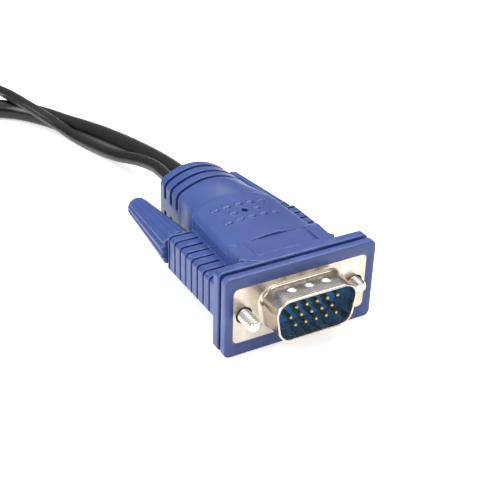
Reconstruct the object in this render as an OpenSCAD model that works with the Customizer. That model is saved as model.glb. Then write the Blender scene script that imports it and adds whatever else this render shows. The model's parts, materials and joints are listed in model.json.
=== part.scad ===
// A keyboard, video and mouse cable. A 15-pin video plug in a moulded hood holds two cords.
// The thick video cord ends in a second 15-pin plug, and the thin one in a flat USB plug.
// Both cords are full length. What is left over is wound into a tied coil beside the plug.
// The origin is on the table, straight below the centre of the flange's front face.
// X runs to the right seen from the front, the pins point along -Y, and Z is up.

/* [Frame and hood] */
// Width of the moulded frame and of the plate behind it
frame_w = 33.3; // [32.6:0.1:40]
// Height of the frame, the plate and the flat part of the hood
hood_h = 17.3; // [16:0.1:21]
// Depth of the frame behind the flange's front face
frame_d = 1.5; // [1.4:0.1:3]
// Height of the frame's lip in front of the flange
lip_t = 0.25; // [0.2:0.05:0.6]
// Width of the joint line between the frame and the plate
joint_w = 0.95; // [0.5:0.05:1.5]
// Depth of that joint line
joint_d = 1; // [0.6:0.1:1.2]
// Thickness of the plate behind the joint line
plate_t = 2.15; // [1.5:0.05:4]
// Corner radius of the frame and the plate
corner_r = 1.1; // [0.6:0.1:1.3]
// Width of the hood at its waist, behind the plate
waist_w = 20.2; // [19.8:0.1:24]
// Width of the hood at its shoulders
shoulder_w = 20.6; // [20.3:0.1:25]
// Width of the hood's flat panel at its rear end
panel_w = 18.8; // [18:0.1:22]
// Length of the hood's body, from the plate to the panel's rear corners
body_l = 23; // [21:0.5:29]
// Radius of the arched rear edge of the panel
panel_arc_r = 15; // [13:0.1:20]
// How far the body's faces fall towards its sides behind the flat label tab
crown_drop = 1.45; // [0.5:0.05:2.5]
// Length of the flat label tab behind the plate
tab_l = 6.4; // [5.5:0.1:9]

/* [Neck and collar] */
// Length of the neck, from the panel's rear corners to the collar
neck_l = 8.2; // [6:0.2:11]
// Length of the collar
collar_l = 10.7; // [10.7:0.1:14]
// Width of the collar at its front
collar_w = 16.1; // [15.2:0.1:17]
// Width of the collar at its rear rim
rim_w = 15.1; // [14.6:0.1:16]
// Height of the collar's arch above the middle of the hood
arch_h = 9.4; // [8.4:0.1:10.5]
// Drop of the arch from its top to the collar's shoulders
arch_drop = 2.7; // [1:0.1:4]
// Width of a bending groove
groove_w = 1; // [0.4:0.05:1.2]
// Depth of a bending groove
groove_d = 1; // [0.5:0.1:1.2]
// Distance from one bending groove to the next
groove_pitch = 3.2; // [2.4:0.1:3.4]

/* [Wings] */
// Distance across the wings' outer faces
wings_w = 30.5; // [30.2:0.1:32.5]
// Height of a wing
wing_h = 8.2; // [7:0.1:10]
// Length of a wing behind the plate
wing_l = 22.4; // [20:0.2:24]
// Number of rib lines on a wing
rib_lines = 8; // [5:1:8]
// Distance from one rib line to the next
rib_pitch = 2.47; // [2:0.01:2.7]
// Width of a rib line
rib_gap = 0.55; // [0.2:0.05:0.8]
// Depth of a rib line
rib_d = 0.45; // [0.2:0.05:0.5]

/* [Grip bumps and label pocket] */
// Distance between bumps along a row
bump_pitch = 2.73; // [2:0.01:3.2]
// Distance between the rows of bumps
bump_row = 2.84; // [2:0.01:3.2]
// Diameter of a bump
bump_dia = 1.8; // [1:0.1:2]
// Height of a bump
bump_h = 0.4; // [0.2:0.05:0.8]
// Diameter of the blind hole in the middle of the bumps
hole_dia = 1.4; // [0.8:0.1:1.9]
// Depth of that hole
hole_d = 1; // [0.4:0.1:1.5]
// Width of the label pocket
pocket_w = 13.9; // [10:0.1:16]
// Length of the label pocket, to the top of its arched rear edge
pocket_l = 5.8; // [3:0.1:7]
// Radius of that arched edge
pocket_arc_r = 50; // [20:1:80]
// Depth of the label pocket
pocket_d = 0.5; // [0.2:0.05:0.6]

/* [Connector] */
// Width of the metal flange
flange_w = 30.8; // [30.4:0.1:31.4]
// Height of the metal flange
flange_h = 12.55; // [12.3:0.05:13]
// Thickness of each metal flange
flange_t = 0.5; // [0.3:0.05:0.6]
// Inside width of the D-shaped shell
shell_w = 16.92; // [16.5:0.02:17.2]
// Inside height of the D-shaped shell
shell_h = 8.36; // [8:0.02:8.6]
// Wall of the D-shaped shell
shell_t = 0.4; // [0.3:0.05:0.5]
// Reach of the D-shaped shell in front of the flange
shell_l = 5.9; // [5:0.1:6.5]
// Distance between neighbouring pins in a row
pin_pitch = 2.29; // [2.2:0.01:2.4]
// Distance between the rows of pins
pin_row = 1.98; // [1.9:0.01:2.1]
// Diameter of a pin
pin_dia = 0.76; // [0.6:0.02:0.9]
// Reach of the pins in front of the flange
pin_l = 4.94; // [4:0.02:5.4]

/* [Thumbscrews] */
// Distance between the two thumbscrews
screw_pitch = 24.99; // [24.8:0.01:25.2]
// Diameter of the screw's thread
screw_dia = 2.84; // [2.5:0.02:3]
// Reach of the left screw in front of the flange, pushed home
screw_l = 4.6; // [3:0.1:6]
// How far the right screw is pulled back
screw_back = 2.2; // [0:0.1:2.5]
// How far a screw can travel
screw_travel = 3; // [2.6:0.1:4]
// Diameter of the knob at its front
knob_dia = 8.06; // [7:0.02:8.4]
// Diameter of the knob at its rear
knob_end_dia = 4.8; // [4.4:0.1:6]
// Length of the knob
knob_l = 21.7; // [18:0.1:28]
// Number of flutes round the knob
flutes = 14; // [10:1:16]
// Radius of a flute
flute_r = 0.55; // [0.3:0.05:0.65]
// Radial clearance between a screw and the bore that carries it
turn_gap = 0.08; // [0.03:0.01:0.1]

/* [Cords] */
// Diameter of the video cord
video_dia = 5.2; // [4.8:0.1:5.4]
// Diameter of the USB cord
usb_dia = 3; // [2.6:0.1:3.2]
// Space between neighbouring turns of a coil
coil_gap = 0.55; // [0.5:0.05:1]
// Outer radius of the video cord's coil, at the middle of the cord
video_coil_r = 35; // [34:0.5:40]
// Turns of the video cord's coil, without the part turn at its end
video_turns = 6; // [4:1:6]
// Outer radius of the USB cord's coil, at the middle of the cord
usb_coil_r = 25.4; // [24:0.2:28]
// Turns of the USB cord's coil, without the part turn at its end
usb_turns = 8; // [6:1:8]
// Width of a tie
tie_w = 8; // [5:0.5:12]
// Thickness of a tie
tie_t = 0.8; // [0.5:0.1:1.2]

/* [USB plug] */
// Width of the USB plug's metal shell
usb_w = 12; // [11.8:0.05:12.2]
// Height of the USB plug's metal shell
usb_h = 4.5; // [4.4:0.05:4.6]
// Wall of the USB plug's metal shell
usb_t = 0.3; // [0.25:0.05:0.4]
// Reach of that shell in front of the grip
usb_l = 12; // [11:0.1:13]
// Width of the grip
grip_w = 16; // [14:0.5:18]
// Height of the grip
grip_h = 8; // [7:0.5:9]
// Length of the grip
grip_l = 22; // [18:0.5:28]
// Length of the strain relief behind the grip
relief_l = 11; // [8:0.5:16]

/* [Hidden] */
$fn = 48;

// Overrun of a cut past the face that it cuts
over = 0.5;
// Clearance between pieces that are put together
fit = 0.05;
// Number of points in a short arc
arc_n = 6;

// Stations along the hood, from the flange's front face
mid = hood_h / 2;
plate_y = frame_d + joint_w;
body_y = plate_y + plate_t;
panel_y = body_y + body_l;
collar_y = panel_y + neck_l;
rim_y = collar_y + collar_l;
wing_y = body_y + wing_l;
tab_y = body_y + tab_l;
crown_r = (pow(shoulder_w / 2, 2) + pow(crown_drop, 2)) / (2 * crown_drop);
panel_tip_y = panel_y + panel_arc_r - sqrt(pow(panel_arc_r, 2) - pow(panel_w / 2, 2));

// Outline of the body behind the plate
waist_r = 4;
waist_l = 2.4;
waist_y = body_y + waist_l;
shoulder_l = 3.3;
shoulder_y = waist_y + shoulder_l;
wing_x = screw_pitch / 2;
wing_corner_r = 0.9;

// Neck and collar sections
neck_step = 0.1;
shoulder_r = 1;
shoulder_share = 0.3;
rim_shrink = 0.4;
groove_top = 2.8;
groove_low = 0.2;
groove_start = 1.1;
first_groove_y = collar_y + groove_start;
bumps_back = 5.42;
bumps_y = panel_y - bumps_back;
pocket_front = 0.9;

// Metal shells and insulators
flange_corner_r = 1.6;
shell_r = 2.6;
shell_side_angle = 10;
rear_box_w = 18.8;
rear_box_h = 10.7;
rear_box_l = 5.9;
flange_hole_r = 1.75;
window_margin = 0.6;
window_slope = 0.6;
insulator_w = rear_box_w - 2 * shell_t - 2 * fit;
insulator_h = rear_box_h - 2 * shell_t - 2 * fit;
insulator_y = -0.3;
insulator_split_y = 1.4;
insulator_end_y = 6.4;
pin_rear_y = 9.2;
cup_r = 0.55;
row_shift = pin_pitch / 4;
dimple_r = 1.1;
dimple_h = 0.25;
dimple_pitch = 3.8;
dimple_y = -2.1;
blend_r = 0.8;
blend_steps = 5;

// Screws, rings and their channels
screw_r = screw_dia / 2;
bore_r = screw_r + turn_gap;
thread_clear = 0.45;
thread_l = screw_l - thread_clear;
tip_chamfer = 0.4;
neck_r = 1.25;
neck_blend = 0.2;
land_l = 0.8;
ring_r = 1.95;
ring_t = 0.8;
ring_neck_r = 1.1;
ring_slot = 1.2;
ring_depth = 14.4;
ring_y = wing_y - ring_depth;
ring_room = 0.1;
screw_tail = 17;
knob_gap = 0.3;
knob_y = wing_y + knob_gap;
knob_edge = 0.2;
knob_end_r = 1.5;
knob_relief = 0.35;

// Cord bores, ferrules and wires
video_x = 2.8;
video_drop = 0.45;
video_z = mid - video_drop;
usb_x = -1.8;
usb_lift = 1.35;
usb_z = mid + usb_lift;
ferrule_t = 0.3;
ferrule_l = 5;
cord_set_back = 2.2;
cord_end_y = panel_y + cord_set_back;
stripped_l = 1.5;
ferrule_y = cord_end_y + stripped_l;
cavity_w = 17.2;
cavity_h = 12.8;
cavity_end = 1;
cavity_y = frame_d + rear_box_l;
wire_r = 0.28;
wire_gap = 0.2;
wire_x_share = 0.32;
wire_z_share = 0.5;
video_wire_x = 0.9;
usb_wire_x = -3.6;
wire_split = -3.5;
peg_r = 0.6;
peg_h = 1.2;
right_peg_x = 6.75;
left_peg_x = -5.6;
side_peg_x = 9.55;
peg_back = 2;
peg_front = 5;

// Where the second plug and the USB plug lie
far_x = -94.5;
far_y = -1;
usb_plug_x = -68.5;
usb_plug_y = 11;
usb_plug_z = grip_h / 2;

// The coils share one centre, the USB cord's coil lying on the video cord's
coil_x = -70;
coil_y = 100;
tie_gap = 0.3;
video_start = 100;
video_end = 180;
usb_start = 127;
usb_end = 225;
video_coil_z = tie_t + tie_gap + video_dia / 2;
video_rise = video_dia + coil_gap;
usb_rise = usb_dia + coil_gap;
usb_coil_z = video_coil_z + video_rise + video_dia / 2 + coil_gap + usb_dia / 2;
rings_per_turn = 24;
coil_sides = 6;
video_sides = 10;
usb_sides = 8;
climb_turns = 0.5;
tie_angles = [155, 335];

// Routes of the free stretches, without the ends that meet a plug or a coil
video_lead_points = [
  [3.1, 59, 8.1], [2.8, 66, 7.7], [2.2, 72.5, 7.2], [1.4, 79, 6.6],
  [0.3, 86.5, 5.8], [-1.2, 95, 4.8], [-3.4, 104, 3.7], [-5.8, 111.5, 2.9],
  [-8.5, 118, 2.7], [-11.6, 123, 2.7], [-15, 127, 2.7], [-19.5, 130.5, 2.7],
  [-25, 134, 2.7], [-31, 137, 2.7], [-38, 139, 2.7], [-46, 139.8, 2.7],
  [-55, 139, 2.8], [-63, 137.6, 3.2]
];
video_tail_points = [
  [-104.7, 86, 9.5], [-102.6, 77, 9.4], [-99.6, 68, 9.2], [-96.8, 60, 8.9], [-95, 54.5, 8.7]
];
usb_lead_points = [
  [-1.6, 52, 10.1], [-1.2, 58, 10], [-1.1, 63, 9.6], [-1.7, 68, 8.9], [-2.9, 72.5, 8.1],
  [-4.4, 77, 7.2], [-5.5, 82, 6.3], [-6.3, 87.5, 5.5], [-7.1, 93.5, 4.8],
  [-8, 99.5, 4.5], [-9, 105.5, 4.7], [-10.6, 111, 5.4], [-12.3, 116, 6.2],
  [-13.7, 120, 6.7], [-14.8, 124, 7], [-15.8, 129, 6.9], [-16.7, 134.5, 6.3],
  [-17.6, 139, 6], [-19.6, 142.8, 6], [-23, 145.3, 6.2], [-27.5, 146, 6.8],
  [-33.5, 145, 8], [-40.5, 142.5, 10], [-48, 139, 12.4], [-56, 135.2, 13.8],
  [-64, 131.4, 14.1], [-72, 127.5, 14.1], [-79, 124.2, 14]
];
usb_tail_points = [
  [-81, 75.5, 17.4], [-76.5, 71, 16.8], [-72.8, 66, 15.3], [-70.2, 61.2, 12.6],
  [-69, 56.6, 9.2], [-68.6, 52, 6.2]
];

// Small helpers

function arc(cx, cy, r, from, to, n) =
  [for (i = [0:n]) let (a = from + (to - from) * i / n) [cx + r * cos(a), cy + r * sin(a)]];

function mirrored(points) = [for (i = [len(points) - 1:-1:0]) [-points[i][0], points[i][1]]];

function smooth(t) = t * t * (3 - 2 * t);

function unit(v) = v / norm(v);

module both_sides() {
  children();
  mirror([1, 0, 0]) children();
}

// A round rod along Y, from y0 to y1
module rod_y(x, z, r, y0, y1) {
  translate([x, y0, z]) rotate([-90, 0, 0]) cylinder(r = r, h = y1 - y0);
}

// A round rod from point p to point q
module rod(p, q, r) {
  d = q - p;
  translate(p)
    rotate([0, acos(d[2] / norm(d)), atan2(d[1], d[0])])
      cylinder(r = r, h = norm(d), $fn = 16);
}

// Extrudes an outline drawn in X and Z from y0 to y1
module along_y(y0, y1) {
  translate([0, y1, 0]) rotate([90, 0, 0]) linear_extrude(y1 - y0) children();
}

module round_rect(w, h, r) {
  square([w - 2 * r, h], center = true);
  square([w, h - 2 * r], center = true);
  for (x = [-1, 1], y = [-1, 1])
    translate([x * (w / 2 - r), y * (h / 2 - r)]) circle(r);
}

module slab(w, h, r, y0, y1) {
  along_y(y0, y1) translate([0, mid]) round_rect(w, h, r);
}

module block(x0, x1, y0, y1, z0, z1) {
  translate([x0, y0, z0]) cube([x1 - x0, y1 - y0, z1 - z0]);
}

// The D shape of the shell, grown by g all round
function d_right(g) = let (
    r = shell_r + g,
    top_x = shell_w / 2 - shell_r,
    z = shell_h / 2 - shell_r,
    low_x = top_x - 2 * z * tan(shell_side_angle)
  ) concat(
    arc(top_x, z, r, 90, -shell_side_angle, arc_n),
    arc(low_x, -z, r, -shell_side_angle, -90, arc_n)
  );

module d_prism(g, y0, y1) {
  along_y(y0, y1) translate([0, mid]) polygon(concat(d_right(g), mirrored(d_right(g))));
}

// Hood

function body_right() = concat(
  [for (p = arc(0, 0, 1, 90, 0, arc_n))
    [waist_w / 2 + waist_r * (1 - p[0]), waist_y - (waist_y - body_y) * p[1]]],
  [for (i = [1:arc_n])
    let (t = i / arc_n)
      [(waist_w + (shoulder_w - waist_w) * smooth(t)) / 2, waist_y + (shoulder_y - waist_y) * t]]
);

function panel_rear() = let (half = asin(panel_w / 2 / panel_arc_r))
  arc(0, panel_tip_y - panel_arc_r, panel_arc_r, 90 - half, 90 + half, 2 * arc_n);

// How far the crowned face has fallen at x
function crown_fall(x) = crown_r - sqrt(pow(crown_r, 2) - pow(x, 2));

// The crown between its upper and lower face, and the flat tab in front of it
module body_faces() {
  block(-frame_w, frame_w, plate_y, tab_y, 0, hood_h);
  intersection() {
    rod_y(0, hood_h - crown_r, crown_r, tab_y - over, rim_y);
    rod_y(0, crown_r, crown_r, tab_y - over, rim_y);
  }
}

module body_block() {
  side = body_right();
  intersection() {
    linear_extrude(hood_h)
      polygon(concat(
        [[waist_w / 2, plate_y]],
        side,
        panel_rear(),
        mirrored(side),
        [[-waist_w / 2, plate_y]]
      ));
    body_faces();
  }
}

// One section of the neck or collar: half width w, top height a, drop d towards the sides
function arch_half(w, a, d, g) = let (
    ww = w - g,
    r = shoulder_r,
    side_z = a - g - d
  ) concat(
    [[ww, side_z - r], [ww - shoulder_share * r, side_z - shoulder_share * r]],
    [for (i = [0:arc_n]) let (x = (ww - r) * (1 - i / arc_n)) [x, a - g - d * pow(x / ww, 2)]]
  );

function arch_section(w, a, d, g, y) = let (
    right = arch_half(w, a, d, g),
    n = len(right) - 1,
    top = concat(right, [for (i = [n - 1:-1:0]) [-right[i][0], right[i][1]]]),
    whole = concat(top, [for (i = [len(top) - 1:-1:0]) [top[i][0], -top[i][1]]])
  ) [for (p = whole) [p[0], y, mid + p[1]]];

// Joins like sections, each a ring of points, into one closed solid
module skin_of(rings) {
  m = len(rings[0]);
  last = len(rings) - 1;
  polyhedron(
    points = [for (r = rings) each r],
    faces = concat(
      [for (i = [0:last - 1], k = [0:m - 1], half = [0, 1])
        let (a = i * m + k, b = i * m + (k + 1) % m)
          half == 0 ? [a, b, b + m] : [a, b + m, a + m]],
      [for (k = [1:m - 2]) [0, k + 1, k]],
      [for (k = [1:m - 2]) [last * m, last * m + k, last * m + k + 1]]
    ),
    convexity = 6
  );
}

neck_sections = 6;

module neck_and_collar(g) {
  start_w = panel_w / 2 - neck_step;
  start_h = mid - neck_step;
  start_drop = crown_fall(start_w);
  neck = [for (i = [0:neck_sections])
    let (t = i / neck_sections, s = smooth(t))
      arch_section(
        start_w + (collar_w / 2 - start_w) * s,
        start_h + (arch_h - start_h) * s,
        start_drop + (arch_drop - start_drop) * s,
        g,
        panel_y - over + (collar_y - panel_y + over) * t
      )];
  rim = arch_section(rim_w / 2, arch_h - rim_shrink, arch_drop, g, rim_y);
  skin_of(concat(neck, [rim]));
}

module collar_grooves() {
  difference() {
    for (i = [0:2]) {
      y = first_groove_y + i * groove_pitch;
      block(-collar_w, collar_w, y, y + groove_w, mid + groove_top, 2 * hood_h);
      block(-collar_w, collar_w, y, y + groove_w, -hood_h, mid - groove_low);
    }
    neck_and_collar(groove_d);
  }
}

module wing() {
  intersection() {
    along_y(plate_y + plate_t / 2, wing_y)
      translate([0, mid]) round_rect(wings_w, wing_h, wing_corner_r);
    block(0, wings_w, 0, rim_y, 0, hood_h);
  }
}

module wing_ribs() {
  difference() {
    for (i = [0:rib_lines - 1]) {
      y = wing_y - (i + 0.5) * rib_pitch;
      block(shoulder_w / 2 - rib_d, wings_w, y, y + rib_gap, 0, hood_h);
    }
    along_y(0, rim_y) translate([0, mid])
      round_rect(wings_w - 2 * rib_d, wing_h - 2 * rib_d, wing_corner_r);
  }
}

module domes() {
  ball_r = (pow(bump_dia / 2, 2) + pow(bump_h, 2)) / (2 * bump_h);
  for (row = [-1:1], k = [-2:2])
    if (row != 0 || abs(k) == 1)
      translate([
        k * bump_pitch,
        bumps_y + row * bump_row,
        hood_h + bump_h - ball_r - crown_fall(k * bump_pitch)
      ])
        sphere(ball_r);
}

module label_pocket() {
  front_y = body_y + pocket_front;
  intersection() {
    block(-pocket_w / 2, pocket_w / 2, front_y, panel_y, hood_h - pocket_d, hood_h + over);
    translate([0, front_y + pocket_l - pocket_arc_r, hood_h - pocket_d])
      cylinder(r = pocket_arc_r, h = pocket_d + over, $fn = 180);
  }
}

// Room for the rear shell, the wires, the ferrules, the cords and the screws
module hood_room(cords) {
  slab(rear_box_w + 2 * fit, rear_box_h + 2 * fit, fit, 0, cavity_y + over);
  slab(cavity_w, cavity_h, flange_corner_r, cavity_y, panel_y - cavity_end);
  for (c = cords) {
    rod_y(
      c[0], c[1], c[2] + ferrule_t + 4 * fit,
      panel_y - cavity_end - over, ferrule_y + ferrule_l + 4 * fit
    );
    rod_y(c[0], c[1], c[2] + fit, panel_y, rim_y + over);
  }
  both_sides() {
    rod_y(wing_x, mid, bore_r, 0, rim_y);
    rod_y(
      wing_x, mid, ring_r + turn_gap,
      ring_y - ring_room, ring_y + ring_t + screw_travel + ring_room
    );
    translate([wing_x, wing_y, mid]) rotate([-90, 0, 0])
      cylinder(r = knob_dia / 2 + knob_relief, h = knob_l + screw_travel);
  }
}

module pegs(r, h) {
  for (x = [left_peg_x, right_peg_x])
    translate([x, first_groove_y + peg_back, mid - over]) cylinder(r = r, h = h + over);
  for (x = [-side_peg_x, side_peg_x])
    translate([x, shoulder_y + peg_front, mid - over]) cylinder(r = r, h = h + over);
}

module hood_solid() {
  slab(frame_w, hood_h, corner_r, plate_y, body_y);
  slab(frame_w - 2 * joint_d, hood_h - 2 * joint_d, corner_r, frame_d, plate_y + over);
  body_block();
  intersection() {
    neck_and_collar(0);
    block(-collar_w, collar_w, 0, 2 * rim_y, 0, 2 * hood_h);
  }
  both_sides() wing();
}

module hood_upper(cords) {
  color([0.33, 0.41, 0.69])
    difference() {
      union() {
        intersection() {
          hood_solid();
          block(-frame_w, frame_w, 0, 2 * rim_y, mid, 2 * hood_h);
        }
        domes();
      }
      hood_room(cords);
      collar_grooves();
      both_sides() wing_ribs();
      label_pocket();
      translate([0, bumps_y, hood_h - hole_d])
        cylinder(d = hole_dia, h = hole_d + bump_h + over);
      pegs(peg_r + fit, peg_h + fit);
    }
}

module hood_lower(cords) {
  color([0.3, 0.38, 0.65]) {
    difference() {
      intersection() {
        hood_solid();
        block(-frame_w, frame_w, 0, 2 * rim_y, 0, mid);
      }
      hood_room(cords);
      collar_grooves();
      both_sides() wing_ribs();
    }
    pegs(peg_r, peg_h);
  }
}

module front_frame() {
  color([0.3, 0.37, 0.64])
    difference() {
      slab(frame_w, hood_h, corner_r, -lip_t, frame_d);
      hull() {
        slab(flange_w, flange_h + window_slope / 2, corner_r, -lip_t - fit, -lip_t);
        slab(flange_w - 2 * window_margin, flange_h - window_margin, corner_r, 0, fit);
      }
      slab(flange_w + 2 * fit, flange_h + 2 * fit, flange_corner_r, 0, 2 * flange_t + fit);
      slab(rear_box_w + 2 * fit, rear_box_h + 2 * fit, fit, 0, frame_d + over);
      both_sides() rod_y(wing_x, mid, flange_hole_r, 0, frame_d + over);
    }
}

// Connector

module front_shell() {
  color([0.78, 0.76, 0.72])
    difference() {
      union() {
        slab(flange_w, flange_h, flange_corner_r, 0, flange_t);
        d_prism(shell_t, -shell_l, flange_t);
        for (i = [1:blend_steps - 1])
          let (a = 90 * i / blend_steps)
            d_prism(shell_t + blend_r * (1 - sin(a)), -blend_r * (1 - cos(a)), flange_t);
        for (k = [-1:1])
          translate([k * dimple_pitch, dimple_y, mid + shell_h / 2 + shell_t + dimple_h - dimple_r])
            sphere(dimple_r);
      }
      d_prism(0, -shell_l - over, flange_t + over);
      both_sides() rod_y(wing_x, mid, flange_hole_r, -over, flange_t + over);
    }
}

module rear_shell() {
  color([0.74, 0.72, 0.68])
    difference() {
      union() {
        slab(flange_w, flange_h, flange_corner_r, flange_t, 2 * flange_t);
        slab(rear_box_w, rear_box_h, fit, flange_t, flange_t + rear_box_l);
      }
      slab(rear_box_w - 2 * shell_t, rear_box_h - 2 * shell_t, fit, 0, cavity_y + over);
      both_sides() rod_y(wing_x, mid, flange_hole_r, 0, 2 * flange_t + over);
    }
}

// Places of the pins: three rows of five, the middle row shifted
pin_places = [for (row = [-1:1], k = [-2:2])
  [k * pin_pitch + (row == 0 ? -row_shift : row_shift), mid + row * pin_row]];

module pin_holes() {
  for (p = pin_places) rod_y(p[0], p[1], pin_dia / 2 + fit / 2, -shell_l, cavity_y);
}

module front_insulator() {
  color([0.16, 0.33, 0.5])
    difference() {
      union() {
        d_prism(-fit, insulator_y, flange_t);
        slab(insulator_w, insulator_h, fit, flange_t, insulator_split_y);
      }
      pin_holes();
    }
}

module rear_insulator() {
  color([0.2, 0.2, 0.22])
    difference() {
      slab(insulator_w, insulator_h, fit, insulator_split_y, insulator_end_y);
      pin_holes();
    }
}

module contact_pins() {
  color([0.85, 0.68, 0.42])
    for (p = pin_places) {
      rod_y(p[0], p[1], pin_dia / 2, -pin_l + pin_dia / 2, insulator_end_y + fit);
      translate([p[0], -pin_l + pin_dia / 2, p[1]]) sphere(pin_dia / 2);
      rod_y(p[0], p[1], cup_r, insulator_end_y + fit, pin_rear_y);
    }
}

// Each wire runs from a pin's cup to the end of the cord that it belongs to.
// The pins on the left serve the USB cord where a plug has two cords.
module core_wires(cords, split_x) {
  color([0.75, 0.3, 0.2])
    for (p = pin_places) {
      c = len(cords) > 1 && p[0] + p[1] - mid < split_x ? cords[1] : cords[0];
      x = c[0] + (p[0] - c[3]) * wire_x_share;
      z = c[1] + (p[1] - mid) * wire_z_share * c[2] / (video_dia / 2);
      rod([p[0], pin_rear_y + wire_gap, p[1]], [x, cord_end_y - wire_gap, z], wire_r);
    }
}

module cord_end(c) {
  color([0.1, 0.1, 0.11]) rod_y(c[0], c[1], c[2], cord_end_y, rim_y);
}

module ferrule(c) {
  color([0.72, 0.72, 0.7])
    difference() {
      rod_y(c[0], c[1], c[2] + ferrule_t, ferrule_y, ferrule_y + ferrule_l);
      rod_y(c[0], c[1], c[2], ferrule_y - over, ferrule_y + ferrule_l + over);
    }
}

// Thumbscrews

module screw(back) {
  tip_y = back - screw_l;
  groove_at = ring_y + screw_l - fit;
  tail_at = knob_y + screw_l + screw_tail;
  color([0.8, 0.79, 0.76])
    translate([wing_x, tip_y, mid]) rotate([-90, 0, 0])
      rotate_extrude()
        polygon([
          [0, 0],
          [screw_r - tip_chamfer, 0],
          [screw_r, tip_chamfer],
          [screw_r, thread_l],
          [neck_r, thread_l + neck_blend],
          [neck_r, groove_at - land_l - neck_blend],
          [screw_r, groove_at - land_l],
          [screw_r, groove_at],
          [ring_neck_r, groove_at],
          [ring_neck_r, groove_at + ring_t + 2 * fit],
          [screw_r, groove_at + ring_t + 2 * fit],
          [screw_r, tail_at],
          [0, tail_at]
        ]);
}

module ring(back) {
  color([0.6, 0.6, 0.62])
    difference() {
      rod_y(wing_x, mid, ring_r, ring_y + back, ring_y + ring_t + back);
      rod_y(wing_x, mid, ring_neck_r + fit, ring_y - over, ring_y + ring_t + back + over);
      block(wing_x - ring_slot / 2, wing_x + ring_slot / 2, 0, rim_y, mid, hood_h);
    }
}

module knob(back) {
  r0 = knob_dia / 2;
  r1 = knob_end_dia / 2;
  color([0.33, 0.4, 0.68])
    translate([wing_x, knob_y + back, mid]) rotate([-90, 0, 0])
      difference() {
        rotate_extrude()
          polygon(concat(
            [[0, 0], [r0 - knob_edge, 0], [r0, knob_edge]],
            arc(r1 - knob_end_r, knob_l - knob_end_r, knob_end_r, 0, 90, arc_n),
            [[0, knob_l]]
          ));
        translate([0, 0, -over]) cylinder(r = screw_r, h = screw_tail + over);
        for (i = [0:flutes - 1])
          rotate([0, 0, 360 * i / flutes])
            rod([r0 + flute_r / 2, 0, -over], [r1 + flute_r / 2, 0, knob_l + over], flute_r);
      }
}

// Cords

// Rings of an n-sided tube of radius r along a path
function tube_rings(path, r, n) = [for (i = [0:len(path) - 1])
  let (
    last = len(path) - 1,
    t = unit(i == 0 ? path[1] - path[0] : i == last ? path[last] - path[last - 1]
      : unit(path[i + 1] - path[i]) + unit(path[i] - path[i - 1])),
    side = unit(cross([0, 0, 1], t)),
    up = cross(t, side)
  )
  [for (k = [0:n - 1]) path[i] + r * (side * cos(360 * k / n) + up * sin(360 * k / n))]];

module tube(path, r, n) {
  color([0.1, 0.1, 0.11]) skin_of(tube_rings(path, r, n));
}

// A point on a coil that spirals in for half of its turns and out again a layer higher.
// u is the number of turns from the start, and whole is the number in all.
function coil_radius(u, whole, r, pitch) = r - pitch * (whole / 2 - abs(u - whole / 2));

function coil_point(u, whole, r, pitch, z, start) = let (
    climb = smooth(min(1, max(0, (u - whole / 2) / climb_turns + 1 / 2))),
    rr = coil_radius(u, whole, r, pitch),
    a = start + 360 * u
  ) [coil_x + rr * cos(a), coil_y + rr * sin(a), z + pitch * climb];

function coil_path(whole, r, pitch, z, start, d) = let (
    n = ceil(whole * rings_per_turn),
    p = [for (i = [0:n]) coil_point(whole * i / n, whole, r, pitch, z, start)],
    first = p[0] - [-sin(start), cos(start), 0] * d,
    last = p[n] + [-sin(start + 360 * whole), cos(start + 360 * whole), 0] * d
  ) concat([first], p, [last]);

// Least space between stretches of a path that are half a turn or more apart
function least_gap(path, d) = min([
  for (i = [0:len(path) - 1], j = [i + rings_per_turn / 2:len(path) - 1]) norm(path[i] - path[j])
]) - d;

function path_length(p) = len(p) < 2 ? 0 : [for (i = [0:len(p) - 2]) norm(p[i + 1] - p[i])]
  * [for (i = [0:len(p) - 2]) 1];

video_whole = video_turns + (video_end - video_start) / 360;
usb_whole = usb_turns + (usb_end - usb_start) / 360;
video_path = coil_path(video_whole, video_coil_r, video_rise, video_coil_z, video_start, video_dia);
usb_path = coil_path(usb_whole, usb_coil_r, usb_rise, usb_coil_z, usb_start, usb_dia);

// A free stretch leaves a plug straight and meets a coil straight
function before_coil(p, d) = [p[0] - d * unit(p[1] - p[0]), p[0]];

function after_coil(p, d) = let (last = len(p) - 1)
  [p[last], p[last] + d * unit(p[last] - p[last - 1])];

function out_of(x, y, z, d) = [[x, y, z], [x, y + d, z]];

function into(x, y, z, d) = [[x, y + d, z], [x, y, z]];

video_lead = concat(
  out_of(video_x, rim_y, video_z, video_dia),
  video_lead_points,
  before_coil(video_path, video_dia)
);
video_tail = concat(
  after_coil(video_path, video_dia),
  video_tail_points,
  into(far_x, far_y + rim_y, mid, video_dia)
);
usb_lead = concat(
  out_of(usb_x, rim_y, usb_z, usb_dia),
  usb_lead_points,
  before_coil(usb_path, usb_dia)
);
usb_exit_y = usb_plug_y + grip_l + relief_l;
usb_tail = concat(
  after_coil(usb_path, usb_dia),
  usb_tail_points,
  into(usb_plug_x, usb_exit_y, usb_plug_z, usb_dia)
);

echo(video_gap = least_gap(video_path, video_dia), usb_gap = least_gap(usb_path, usb_dia));
echo(video_length = path_length(video_lead) + path_length(video_path) + path_length(video_tail));
echo(usb_length = path_length(usb_lead) + path_length(usb_path) + path_length(usb_tail));

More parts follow.
